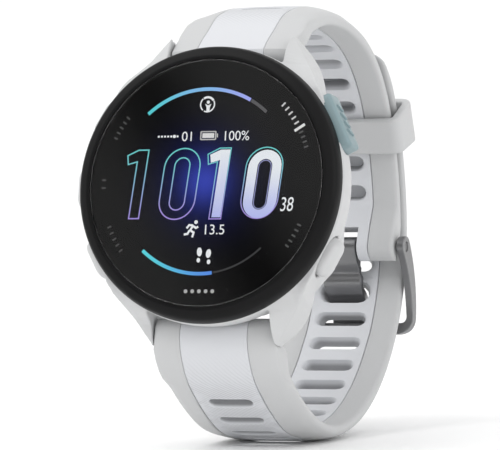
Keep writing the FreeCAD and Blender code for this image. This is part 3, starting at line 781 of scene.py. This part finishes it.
class Dial:
    """Flat shapes on the display, drawn in (x, z) with a colour for each point."""

    WHITE = (0.82, 0.84, 0.86)
    GREY = (0.1, 0.1, 0.105)
    DEPTH = 1.16

    def __init__(self):
        self.shell = Shell()

    def run(self, z, top=5.4, foot=-5.6):
        """The colour run from teal above to violet below."""
        share = smooth((z - foot) / (top - foot))
        return tuple(b + (a - b) * share for a, b in zip(colours().teal, colours().violet))

    def point(self, x, z, tint, lift=0.0):
        return (x, self.DEPTH - lift, z, *(tint(x, z) if callable(tint) else tint))

    def line(self, path, width, tint, closed=False, lift=0.0):
        """A line of even width along a path."""
        count = len(path)
        rows = []
        for i, (x, z) in enumerate(path):
            before = path[i - 1] if i or closed else path[0]
            after = path[(i + 1) % count] if i + 1 < count or closed else path[-1]
            a = Vector((x - before[0], z - before[1]))
            b = Vector((after[0] - x, after[1] - z))
            a = a.normalized() if a.length > 1e-9 else b.normalized()
            b = b.normalized() if b.length > 1e-9 else a
            normal = Vector((-(a + b).y, (a + b).x)).normalized()
            stretch = 1 / max(abs(normal.dot(Vector((-a.y, a.x)))), 0.5)
            step = normal * width / 2 * stretch
            rows.append([self.point(x + s * step.x, z + s * step.y, tint, lift) for s in (1, -1)])
        if closed:
            rows.append(rows[0])
        self.shell.grid(rows)

    def arc(self, middle, radius, start, stop, width, tint, steps=48):
        angles = [math.radians(start + (stop - start) * i / steps) for i in range(steps + 1)]
        path = [(middle[0] + radius * math.cos(a), middle[1] + radius * math.sin(a)) for a in angles]
        self.line(path, width, tint)

    def fill(self, loop, tint, lift=0.0):
        self.shell.face([self.point(x, z, tint, lift) for x, z in loop])

    def band(self, outer, inner, tint, lift=0.0):
        """The area between two loops of equally many points."""
        rows = [[self.point(x, z, tint, lift) for x, z in loop] for loop in (outer, inner)]
        self.shell.grid(rows, around=True)

    def dot(self, x, z, rx, rz, tint, turn=0.0):
        c, s = math.cos(math.radians(turn)), math.sin(math.radians(turn))
        ring = [(rx * math.cos(a * math.pi / 12), rz * math.sin(a * math.pi / 12)) for a in range(24)]
        self.fill([(x + c * u - s * v, z + s * u + c * v) for u, v in ring], tint)

    def words(self, text, x, z, height, tint, squeeze=1.0, slant=0.0):
        """Digits and signs set from x to the right on a line at z; gives back where they end."""
        curve = bpy.data.curves.new("digits", "FONT")
        curve.body = text
        curve.size = height / 0.73
        obj = bpy.data.objects.new("digits", curve)
        bpy.context.scene.collection.objects.link(obj)
        bpy.context.view_layer.update()
        flat = obj.evaluated_get(bpy.context.evaluated_depsgraph_get()).to_mesh()
        first = len(self.shell.points)
        far = x
        for vertex in flat.vertices:
            u, v = vertex.co.x * squeeze, vertex.co.y
            self.shell.points.append(self.point(x + u + slant * v, z + v, tint))
            far = max(far, x + u)
        for polygon in flat.polygons:
            self.shell.faces.append(tuple(first + i for i in polygon.vertices))
        bpy.data.objects.remove(obj)
        bpy.data.curves.remove(curve)
        return far


def sheared(loop, x, slant=0.1):
    return [(x + u + slant * v, v) for u, v in loop]


def tall_loop(half_width, top, foot):
    """A tall loop with round ends, for the digit nought."""
    rise, middle = (top - foot) / 2, (top + foot) / 2
    return [(v, middle + u) for u, v in obround(rise, half_width, 16, 8)]


def one_loop(grow=0.0):
    """The outline of the digit one about its own middle line."""
    g = grow
    return [
        (1.35 + g, 5.25 + g),
        (-0.35 - 0.3 * g, 5.25 + g),
        (-2.1 - g, 4.4 + 0.3 * g),
        (-1.8 - g, 3.0 - g),
        (-0.35 - g, 3.4 - g),
        (-0.35 - g, -5.45 - g),
        (1.35 + g, -5.45 - g),
    ]


class WATCH_OT_display(bpy.types.Operator):
    """Builds the display with its glow, and the dial's graphics under the glass"""

    bl_idname = "watch.display"
    bl_label = "Display"

    def execute(self, context):
        lit = lit_material("lit_display")
        self.panel(lit)
        dial = Dial()
        self.arcs(dial)
        self.status_line(dial)
        self.large_digits(dial)
        self.small_marks(dial)
        self.rim_ticks(dial)
        graphics = dial.shell.make("display_graphics", lit, closed=False)
        settle(graphics, "case", "display")
        return {"FINISHED"}

    def panel(self, lit):
        """The panel's black face with a blue glow near its middle, its rim and its back."""
        glow, black = colours().glow, 0.0015
        face, edge, back = 19.1, 17.7, 2.2
        rings = 48
        turns = [2 * math.pi * k / TURNS for k in range(TURNS)]
        shell = Shell()
        rows = []
        for i in range(rings + 1):
            r = face * i / rings
            row = []
            for a in turns:
                x, z = r * math.cos(a), r * math.sin(a)
                away = (x + 0.3) ** 2 + (z - 0.3) ** 2
                near = math.exp(-away / 11.0) + 0.25 * math.exp(-away / 40.0)
                row.append((x, 1.2, z, *(black + near * c for c in glow)))
            rows.append(row)
        for r, y in ((face, 1.24), (edge, 1.25), (edge, back)):
            rows.append([(r * math.cos(a), y, r * math.sin(a)) for a in turns])
        shell.grid(rows, around=True)
        shell.face(rows[-1])
        panel = shell.make("display_panel_face", lit)
        settle(panel, "case", "display", "display_panel")

    def arcs(self, dial):
        """Progress arcs above and below."""
        cyan, sky, lilac = (0.1, 0.62, 0.66), (0.22, 0.5, 0.82), (0.36, 0.4, 0.9)

        def upper(x, z):
            share = (x + 10.6) / 17.0
            pair = (cyan, sky) if share < 0.5 else (sky, lilac)
            t = smooth(min(share * 2 % 1.0001, 1.0)) if share < 1 else 1.0
            return tuple(a + (b - a) * t for a, b in zip(*pair))

        def lower(x, z):
            share = smooth((x + 10.2) / 12.0)
            return tuple(a + (b - a) * share for a, b in zip((0.1, 0.66, 0.74), (0.1, 0.28, 0.8)))

        dial.arc((-0.6, 0.0), 14.6, 132, 61, 0.55, upper)
        dial.arc((-0.6, 0.0), 14.6, 60.4, 48, 0.5, dial.GREY)
        dial.arc((-0.4, 0.4), 14.4, -131.5, -81.5, 0.55, lower)
        dial.arc((-0.4, 0.4), 14.4, -80.9, -46.5, 0.28, (0.05, 0.05, 0.052))

    def status_line(self, dial):
        """Day dots, day of the month, battery and its charge, under a small gauge."""
        white = dial.WHITE
        for i in range(7):
            radius = 0.26 if i == 5 else 0.17
            dial.dot(-8.4 + 0.52 * i, 7.3, radius, radius, white)
        dial.words("01", -4.6, 6.55, 1.55, white)
        outer = [(-1.5, 6.65, 0.2), (1.15, 6.65, 0.2), (1.15, 8.05, 0.2), (-1.5, 8.05, 0.2)]
        inner = [(-1.3, 6.83, 0.1), (0.95, 6.83, 0.1), (0.95, 7.87, 0.1), (-1.3, 7.87, 0.1)]
        dial.band(soften(outer, 0.2), soften(inner, 0.1), (0.5, 0.5, 0.5))
        dial.fill([(-1.15, 6.98), (0.8, 6.98), (0.8, 7.72), (-1.15, 7.72)], (0.7, 0.7, 0.7))
        dial.fill([(1.22, 7.05), (1.42, 7.05), (1.42, 7.65), (1.22, 7.65)], (0.5, 0.5, 0.5))
        dial.words("100%", 2.15, 6.55, 1.55, white, 0.97)
        dial.arc((-0.6, 12.2), 1.15, -118, 28, 0.2, white, 20)
        dial.arc((-0.6, 12.2), 1.12, 32, 125, 0.34, white, 16)
        dial.arc((-0.6, 12.2), 1.15, 131, 230, 0.2, white, 16)
        dial.dot(-0.5, 12.55, 0.26, 0.26, white)
        shoulders = [(-1.0, 12.3), (-0.5, 12.05), (0.05, 12.3)]
        dial.fill([*shoulders, (-0.2, 11.75), (-0.25, 11.0), (-0.75, 11.0), (-0.75, 11.75)], white)

    def large_digits(self, dial):
        """Hours in outline, minutes filled with an outline behind them."""

        def tint(x, z):
            return dial.run(z)

        def pale(x, z):
            share = smooth((z + 6.0) / 9.0)
            return tuple(a + (b - a) * share for a, b in zip((0.46, 0.5, 0.86), (0.8, 0.84, 0.88)))

        dial.line(sheared(one_loop(-0.02), -11.75), 0.2, tint, closed=True)
        dial.line(sheared(tall_loop(2.95, 5.4, -5.6), -4.45), 0.2, tint, closed=True)
        dial.line(sheared(tall_loop(1.25, 3.95, -4.15), -4.45), 0.2, tint, closed=True)
        dial.fill(sheared(one_loop(-0.12), 1.9), pale, 0.02)
        dial.line(sheared(one_loop(0.12), 1.75), 0.17, tint, closed=True)
        outer, inner = tall_loop(2.72, 5.0, -5.5), tall_loop(1.2, 3.6, -4.2)
        dial.band(sheared(outer, 9.2), sheared(inner, 9.2), pale, 0.02)
        dial.line(sheared(tall_loop(3.0, 5.4, -5.55), 9.1), 0.17, tint, closed=True)
        dial.line(sheared(tall_loop(1.02, 3.4, -4.05), 9.2), 0.14, (0.28, 0.3, 0.55), closed=True)

    def small_marks(self, dial):
        """Seconds, distance with a runner, and footprints."""
        white = dial.WHITE
        dial.words("38", 12.15, -4.45, 2.25, white, 0.72, 0.1)
        dial.words("13.5", -0.25, -7.95, 1.6, white)
        dial.dot(-1.35, -6.05, 0.3, 0.3, white)
        for path in (
            [(-1.75, -6.5), (-2.25, -7.35)],
            [(-1.8, -6.55), (-2.45, -6.5), (-2.85, -7.0)],
            [(-1.7, -6.7), (-1.3, -6.95), (-0.95, -6.75)],
            [(-2.25, -7.3), (-1.65, -7.65), (-1.85, -8.4)],
            [(-2.35, -7.3), (-2.65, -7.85), (-3.25, -7.95)],
        ):
            dial.line(path, 0.34, white)
        for x, z, turn in ((-0.5, -10.65, 4), (1.0, -10.9, -6)):
            dial.dot(x, z, 0.42, 0.68, white, turn)
            dial.dot(x - 0.02 * turn - 0.02, z - 1.28, 0.29, 0.36, white)

    def rim_ticks(self, dial):
        """Rows of plain ticks beside the buttons, and a row of dots at the foot."""
        # angle of the row's middle, its length, count of ticks, their height, grey level
        rows = (
            (37.0, 4.5, 6, 0.8, 0.62),
            (24.0, 3.2, 5, 0.7, 0.09),
            (-29.0, 3.6, 5, 0.7, 0.09),
            (149.0, 3.6, 5, 0.7, 0.075),
            (180.0, 1.2, 2, 0.7, 0.075),
            (210.5, 4.2, 5, 0.7, 0.075),
        )
        middle = 17.0
        for angle, span, count, tall, grey in rows:
            for i in range(count):
                a = math.radians(angle + math.degrees(span * (i / (count - 1) - 0.5) / 16.7))
                reach = (middle - tall / 2, middle + tall / 2)
                ends = [(r * math.cos(a) - 0.15, r * math.sin(a)) for r in reach]
                dial.line(ends, 0.26, (grey, grey, grey))
        dial.line([(13.95, 7.85), (15.55, 8.85)], 0.42, (0.75, 0.75, 0.75))
        for i in range(5):
            dial.dot(-2.4 + 1.1 * i, -16.7, 0.3, 0.3, (0.45, 0.45, 0.45))


class WATCH_OT_housing(bpy.types.Operator):
    """Rounds the housing and gives the rear cover and what fills the housing their surfaces"""

    bl_idname = "watch.housing"
    bl_label = "Housing"

    def execute(self, context):
        body = material("satin_housing", colours().housing, 0.42, scale=8000.0, bump=0.012)
        cover = material("rear_cover_plastic", (0.3, 0.305, 0.31), 0.45, scale=8000.0, bump=0.015)
        self.case(body)
        carry("rear_cover", cover, 0.15, 2)
        dark = material("inner_plastic", (0.004, 0.004, 0.004), 0.6, shine=0.1)
        hidden = ("lens_adhesive", "inner_frame", "gnss_antenna", "button_switches")
        for node in (*hidden, "rear_cover_gasket", "battery"):
            carry(node, dark)
        board = material("board_green", (0.02, 0.09, 0.04), 0.4, coat=0.5)
        for node in ("main_board", "sensor_board"):
            carry(node, board)
        for node in ("vibration_motor", "piezo_buzzer", "rear_cover_screws"):
            carry(node, steel())
        carry("charging_contacts", material("gold_plate", (0.75, 0.52, 0.2), 0.25, metallic=1.0))
        window = material("sensor_black", (0.006, 0.006, 0.008), 0.08, coat=1.0, bump=0.001)
        profile = [(0.0, 9.9, 0.0), (6.2, 9.9, 0.0), (6.2, 11.55, 0.1), (5.5, 12.1, 0.9), (0.0, 12.2, 0.0)]
        glass = lathe(soften(profile, 0.1, 6)).make("sensor_dome", window)
        settle(glass, "case", "window", "sensor_window")
        self.optics()
        return {"FINISHED"}

    # the lugs, mm: the seat under the bezel and the ring that they grow from, how far they narrow
    # towards the wrist, and how much slimmer and further back their tips are
    SEAT, RING = 20.5, 21.6
    UNDERCUT, SLIM, SET_BACK = 1.4, 0.8, 2.4

    def case(self, surface):
        """The housing: its lugs narrow towards the wrist, their tips lean back, every edge is soft."""
        mesh = NODES["mid_case"].data.copy()
        back = PLACE.inverted()
        for vertex in mesh.vertices:
            x, y, z = back @ vertex.co
            side, ring = abs(x), math.hypot(x, z)
            if side <= LUG_INNER or ring < self.SEAT:
                continue
            under = smooth((y - 3.0) / 7.0) * smooth((abs(z) - 9.0) / 6.0) * smooth((ring - self.RING) / 1.0)
            tip = smooth((abs(z) - 15.5) / 5.5)
            slimmer = self.SLIM * tip * smooth((side - LUG_INNER) / 1.0)
            moved = side - self.UNDERCUT * under * (1 - tip) - slimmer
            moved = max(moved, LUG_INNER + 0.25 * (side - LUG_INNER))
            set_back = self.SET_BACK * tip * (1 - smooth((y - 3.0) / 6.0)) * smooth((ring - self.RING) / 2.0)
            vertex.co = PLACE @ Vector((math.copysign(moved, x), y + set_back, z))
        obj = copied("housing", mesh, surface)
        round_off(obj, sizes().case_rounding, 5)
        settle(obj, "case", "housing", "mid_case")

    def optics(self):
        """Emitters and detectors seen in the sensor window."""
        shell = Shell()
        spots = [(0.0, 0.0, 1.5, 1.0)]
        spots += [(x, 0.0, 0.9, 1.3) for x in (3.3, -3.3)]
        spots += [(0.0, z, 1.3, 0.9) for z in (3.3, -3.3)]
        foot, top, lip = 11.9, 12.215, 12.235
        for x, z, wide, tall in spots:
            rim = soften(rectangle(x, z, wide, tall), 0.35)
            inset = [(x + (u - x) * 0.86, z + (v - z) * 0.86) for u, v in rim]
            rows = [[(u, y, v) for u, v in loop] for loop, y in ((rim, foot), (rim, top), (inset, lip))]
            shell.grid(rows, around=True)
            shell.face(rows[-1])
        surface = material("sensor_lenses", (0.03, 0.05, 0.045), 0.12, coat=1.0, bump=0.001)
        settle(shell.make("sensor_emitters", surface), "case", "window")


def copied(name, mesh, surface):
    """An object for a reshaped copy of a CAD mesh."""
    mesh.materials.clear()
    mesh.materials.append(surface)
    obj = bpy.data.objects.new(name, mesh)
    bpy.context.scene.collection.objects.link(obj)
    return obj


def round_off(obj, voxel, rounds):
    """Softens every edge: the mesh is rebuilt from fine cells and relaxed."""
    cells = obj.modifiers.new("Cells", "REMESH")
    cells.mode = "VOXEL"
    cells.voxel_size = voxel * MM
    cells.use_smooth_shade = True
    soft = obj.modifiers.new("Soft", "SMOOTH")
    soft.factor = 0.5
    soft.iterations = rounds


def carry(node, surface, voxel=0.0, rounds=0):
    """Gives a CAD node its surface and, if asked, soft edges."""
    obj = NODES[node]
    obj.data.materials.clear()
    obj.data.materials.append(surface)
    if voxel:
        round_off(obj, voxel, rounds)


# name, angle from three o'clock, half length, half width, height of the face, depth, ridged
BUTTONS = (
    ("start_button", 26.8, 4.7, 2.2, 22.7, 5.3, True),
    ("back_button", -30.0, 3.15, 2.0, 22.9, 5.4, False),
    ("light_button", 150.0, 3.3, 1.9, 23.0, 5.4, False),
    ("up_button", 180.0, 3.3, 1.9, 23.0, 5.4, False),
    ("down_button", 210.0, 3.3, 1.9, 23.0, 5.4, False),
)


# how far each ring of a cap's face is drawn in, and how high it stands
DOMED = ((0.0, -2.4), (0.0, -0.95), (0.07, -0.6), (0.28, -0.24), (0.65, -0.02), (1.1, 0.1))
FLAT = ((0.0, -2.4), (0.0, -0.5), (0.06, -0.25), (0.25, -0.06), (0.55, 0.0))
# height above the watch's axis and radius along a button's stem, with the groove for its clip
STEM = ((17.3, 0.1), (17.3, 0.9), (17.7, 0.9), (17.7, 0.7), (18.1, 0.7), (18.1, 0.9), (20.9, 0.9))


class WATCH_OT_buttons(bpy.types.Operator):
    """Builds the five buttons; the start button carries slanting ridges"""

    bl_idname = "watch.buttons"
    bl_label = "Buttons"

    def execute(self, context):
        tint = colours()
        rubber = material("seal_rubber", (0.02, 0.02, 0.02), 0.6)
        for name, angle, long, wide, face, depth, ridged in BUTTONS:
            a = math.radians(angle)

            def spot(u, v, h):
                return (h * math.cos(a) + u * math.sin(a), depth + v, h * math.sin(a) - u * math.cos(a))

            shell = Shell()
            self.cap(shell, spot, long, wide, face, ridged)
            self.stem(shell, spot)
            if ridged:
                self.ridges(shell, spot, face)
                finish, surface = "start_teal", material("start_teal", tint.start, 0.4, bump=0.01)
            else:
                finish, surface = "button_grey", material("button_grey", tint.button, 0.38, bump=0.01)
            settle(shell.make(name + "_cap", surface), name, finish, name)
            carry(name + "_seal", rubber)
            carry(name + "_clip", steel())
        return {"FINISHED"}

    def cap(self, shell, spot, long, wide, face, ridged):
        """The cap: flat with square ends if it is ridged, else domed with round ends."""
        rows = []
        for inset, rise in (*FLAT, (wide - 0.2, 0.02)) if ridged else (*DOMED, (wide - 0.1, 0.16)):
            u, v = long - inset, wide - inset
            if ridged:
                loop = soften(rectangle(0.0, 0.0, u, v), 1.1 - min(inset, 1.0), 6)
            else:
                loop = obround(u, v, 10, 8)
            rows.append([spot(u, v, face + rise) for u, v in loop])
        shell.grid(rows, around=True)
        shell.face(rows[0])
        shell.face(rows[-1])

    def stem(self, shell, spot):
        turns = [k * math.pi / 12 for k in range(24)]
        rows = [[spot(r * math.cos(t), r * math.sin(t), h) for t in turns] for h, r in STEM]
        shell.grid(rows, around=True)
        shell.face(rows[0])

    def ridges(self, shell, spot, face):
        """Four short slanting ridges on the face."""
        for i in range(4):
            middle = -2.1 + 1.4 * i
            bars = []
            for inset, rise in ((0.0, 0.0), (0.02, 0.2), (0.1, 0.3)):
                loop = obround(0.95 - inset, 0.24 - inset, 6, 4)
                turned = [(middle + 0.45 * u + 0.9 * v, 0.9 * u - 0.45 * v) for u, v in loop]
                bars.append([spot(u, v, face + rise) for u, v in turned])
            shell.grid(bars, around=True)
            shell.face(bars[-1])


class WATCH_OT_upper_strap(bpy.types.Operator):
    """Builds the buckle's half of the strap in its three bands"""

    bl_idname = "watch.upper_strap"
    bl_label = "Upper strap"

    def execute(self, context):
        side = upper_side()
        slots = [(FIRST_SLOT + SLOT_PITCH * i, SLOT_HALF, SLOT_RISE) for i in range(11)]
        strap_pieces("upper_strap", side, slots, "upper_strap", notch_from=side.length + 0.6)
        for node in ("upper_spring_bar", "upper_release_lever"):
            carry(node, steel())
        return {"FINISHED"}


class WATCH_OT_lower_strap(bpy.types.Operator):
    """Builds the long half of the strap in its three bands"""

    bl_idname = "watch.lower_strap"
    bl_label = "Lower strap"

    def execute(self, context):
        side = lower_side()
        slots = []
        for i in range(-12, 8):
            taller = 0.65 if i == 0 else 0.0
            slots.append((TONGUE_SLOT + SLOT_PITCH * i, SLOT_HALF, SLOT_RISE + taller))
        strap_pieces("lower_strap", side, slots, "lower_strap")
        for node in ("lower_spring_bar", "lower_release_lever"):
            carry(node, steel())
        return {"FINISHED"}


class WATCH_OT_keeper(bpy.types.Operator):
    """Builds the rounded loop that holds the tail down"""

    bl_idname = "watch.keeper"
    bl_label = "Keeper"

    def execute(self, context):
        arcs, _ = arcs_of(UPPER_START, UPPER_HEADING, UPPER_RUNS)
        middle, radius, begin, turn, _ = arcs[3]
        start, stop = begin + turn * 0.05, begin + turn * 0.355
        low, high, half = radius - THICK - 1.05, radius + TAIL_THICK + 0.6 + 1.1, 11.2
        ring = soften([(low, -half), (high, -half, 1.7), (high, half, 1.7), (low, half)], 1.2, 6)
        reach = abs(stop - start) * radius / 2
        wall = soften(rectangle(0.0, 0.0, reach, 0.72), 0.45, 4)
        rows = []
        count = len(ring)
        for i, (r, x) in enumerate(ring):
            before, after = ring[i - 1], ring[(i + 1) % count]
            along = Vector((after[0] - before[0], after[1] - before[1])).normalized()
            out = Vector((along.y, -along.x))
            row = []
            for run, off in wall:
                a = (start + stop) / 2 + run / radius
                rr = r + out.x * off
                row.append((x + out.y * off, middle.x + rr * math.cos(a), middle.y + rr * math.sin(a)))
            rows.append(row)
        rows.append(rows[0])
        shell = Shell()
        shell.grid(rows, around=True)
        settle(shell.make("keeper_loop", silicone_edge()), "strap_keeper", "silicone_grey", "strap_keeper")
        return {"FINISHED"}


class WATCH_OT_buckle(bpy.types.Operator):
    """Gives the buckle's frame and tongue soft edges, and all three brushed metal"""

    bl_idname = "watch.buckle"
    bl_label = "Buckle"

    def execute(self, context):
        finish = {"metallic": 1.0, "texture": "brushed", "bump": 0.012}
        metal = material("brushed_gunmetal", colours().metal, 0.28, **finish)
        carry("buckle_frame", metal, sizes().metal_rounding, 3)
        self.tongue(metal)
        carry("buckle_pin", metal)
        return {"FINISHED"}

    def tongue(self, metal):
        """The tongue, broad up to the pin, with pressed steps across it."""
        mesh = NODES["buckle_tongue"].data.copy()
        back = PLACE.inverted()
        places = [back @ vertex.co for vertex in mesh.vertices]
        for vertex, p in zip(mesh.vertices, places):
            broad = 1 + 0.4 * smooth((p.z + 4.6) / 1.2) * (abs(p.x) > 0.5)
            stepped = smooth((p.z + 12.5) / 3.0) * (1 - smooth((p.z + 3.5) / 1.5))
            step = 0.28 * math.sin((p.z + 12.0) * 1.9) * stepped
            vertex.co = PLACE @ Vector((p.x * broad, p.y + step, p.z))
        obj = copied("tongue", mesh, metal)
        round_off(obj, sizes().metal_rounding, 3)
        settle(obj, "buckle_tongue", "gunmetal", "buckle_tongue")


class WATCH_OT_stage(bpy.types.Operator):
    """Lays the floor, sets the soft lights and the camera"""

    bl_idname = "watch.stage"
    bl_label = "Stage"

    AZIMUTH, ELEVATION, ROLL = 22.16, 2.0, -1.25
    DISTANCE, FOCAL = 601.75, 283.68
    # the card, m: the way from the lens to it, how far off it is, its side, and its fade to black
    CARD_WAY, CARD_AWAY, CARD_SPAN, CARD_FADE = (-0.377, -0.86, 0.345), 0.3, 0.36, 0.085
    CARD_LIGHT = 0.45
    AIM_DEPTH, AIM_RIGHT, AIM_UP = 1.3, 6.43, -6.33

    def execute(self, context):
        self.floor()
        self.card()
        self.lights()
        self.camera(context)
        return {"FINISHED"}

    def floor(self):
        """A floor that rises smoothly into a backdrop far behind the watch."""
        look = bpy.context.scene.watch_stage
        rows = []
        path = [(-3.0, 0.0), (0.5, 0.0)]
        bend = [math.pi / 24 * k for k in range(1, 13)]
        path += [(0.5 + 0.6 * math.sin(a), 0.6 - 0.6 * math.cos(a)) for a in bend]
        path.append((1.1, 3.0))
        for y, z in path:
            rows.append([(x, y, z) for x in (-3.0, 3.0)])
        mesh = bpy.data.meshes.new("floor")
        points = [p for row in rows for p in row]
        mesh.from_pydata(points, [], [(2 * i, 2 * i + 1, 2 * i + 3, 2 * i + 2) for i in range(len(rows) - 1)])
        mesh.shade_smooth()
        surface = material("floor_paper", look.floor, 0.75, scale=400.0, bump=0.01)
        mesh.materials.append(surface)
        floor = bpy.data.objects.new("floor", mesh)
        bpy.context.scene.collection.objects.link(floor)

    def lamp(self, name, place, power, size):
        data = bpy.data.lights.new(name, "AREA")
        data.shape = "DISK"
        data.size = size
        data.energy = power
        lamp = bpy.data.objects.new(name, data)
        bpy.context.scene.collection.objects.link(lamp)
        lamp.location = place
        lamp.rotation_euler = (LENS_MIDDLE - Vector(place)).to_track_quat("-Z", "Y").to_euler()

    def card(self):
        """A graded card seen only in gloss and through glass: the lens is black to the right."""
        facing = Vector(self.CARD_WAY).normalized()
        across = facing.cross(Vector((0, 0, 1))).normalized()
        up = across.cross(facing)
        points, faces, marks = [], [], []
        steps = 24
        for i in range(steps + 1):
            for j in range(steps + 1):
                u, v = i / steps - 0.5, j / steps - 0.5
                points.append(LENS_MIDDLE + facing * self.CARD_AWAY + (across * u + up * v) * self.CARD_SPAN)
                shine = smooth(0.2 + (v * self.CARD_SPAN - u * self.CARD_SPAN) / self.CARD_FADE)
                marks += [self.CARD_LIGHT * shine] * 3
        for i in range(steps):
            for j in range(steps):
                a = i * (steps + 1) + j
                faces.append((a, a + 1, a + steps + 2, a + steps + 1))
        mesh = bpy.data.meshes.new("sheen_card")
        mesh.from_pydata(points, [], faces)
        mesh.attributes.new("marks", "FLOAT_VECTOR", "POINT").data.foreach_set("vector", marks)
        mesh.materials.append(lit_material("sheen"))
        card = bpy.data.objects.new("sheen_card", mesh)
        bpy.context.scene.collection.objects.link(card)
        card.visible_camera = card.visible_diffuse = card.visible_shadow = False

    def lights(self):
        look = bpy.context.scene.watch_stage
        world = bpy.data.worlds.new("soft_studio")
        world.use_nodes = True
        sky = world.node_tree.nodes["Background"]
        sky.inputs["Color"].default_value = (1.0, 1.0, 1.0, 1.0)
        sky.inputs["Strength"].default_value = look.sky
        bpy.context.scene.world = world
        self.lamp("key", (-0.35, -0.45, 0.75), look.key, 0.9)
        self.lamp("fill", (0.7, -0.3, 0.35), look.fill, 0.5)

    def camera(self, context):
        """The camera, turned round the dial's middle."""
        azimuth, elevation, roll = (math.radians(v) for v in (self.AZIMUTH, self.ELEVATION, self.ROLL))
        flat = math.cos(elevation)
        back = Vector((math.sin(azimuth) * flat, -math.cos(azimuth) * flat, math.sin(elevation)))
        level = Vector((math.cos(azimuth), math.sin(azimuth), 0.0))
        upright = back.cross(level)
        right = math.cos(roll) * level + math.sin(roll) * upright
        up = back.cross(right)
        data = bpy.data.cameras.new("camera")
        data.lens = self.FOCAL
        data.sensor_width = 36.0
        data.clip_start, data.clip_end = 0.01, 20.0
        camera = bpy.data.objects.new("camera", data)
        context.scene.collection.objects.link(camera)
        middle = PLACE @ Vector((0.0, self.AIM_DEPTH, 0.0))
        shift = self.AIM_RIGHT * right + self.AIM_UP * up + self.DISTANCE * back
        turn = Matrix((right, up, back)).transposed().to_4x4()
        camera.matrix_world = Matrix.Translation(middle + shift * MM) @ turn
        context.scene.camera = camera
        context.scene.view_settings.view_transform = "Standard"


OPERATORS = (
    WATCH_OT_front,
    WATCH_OT_display,
    WATCH_OT_housing,
    WATCH_OT_buttons,
    WATCH_OT_upper_strap,
    WATCH_OT_lower_strap,
    WATCH_OT_keeper,
    WATCH_OT_buckle,
    WATCH_OT_stage,
)


class WATCH_PT_panel(bpy.types.Panel):
    """Lists the watch's pieces and settings"""

    bl_idname = "WATCH_PT_panel"
    bl_label = "Running watch"
    bl_space_type = "VIEW_3D"
    bl_region_type = "UI"
    bl_category = "Watch"

    def draw(self, context):
        for operator in OPERATORS:
            self.layout.operator(operator.bl_idname)
        for settings in (context.scene.watch_sizes, context.scene.watch_colours, context.scene.watch_stage):
            for name in settings.__annotations__:
                self.layout.prop(settings, name)


SETTINGS = (("watch_sizes", WatchSizes), ("watch_colours", WatchColours), ("watch_stage", WatchStage))


def register():
    for name, kind in SETTINGS:
        bpy.utils.register_class(kind)
        setattr(bpy.types.Scene, name, PointerProperty(type=kind))
    for kind in (*OPERATORS, WATCH_PT_panel):
        bpy.utils.register_class(kind)


def unregister():
    for kind in reversed((*OPERATORS, WATCH_PT_panel)):
        bpy.utils.unregister_class(kind)
    for name, kind in reversed(SETTINGS):
        delattr(bpy.types.Scene, name)
        bpy.utils.unregister_class(kind)


def main():
    register()
    for operator in OPERATORS:
        group, name = operator.bl_idname.split(".")
        getattr(getattr(bpy.ops, group), name)()


if __name__ == "__main__":
    main()
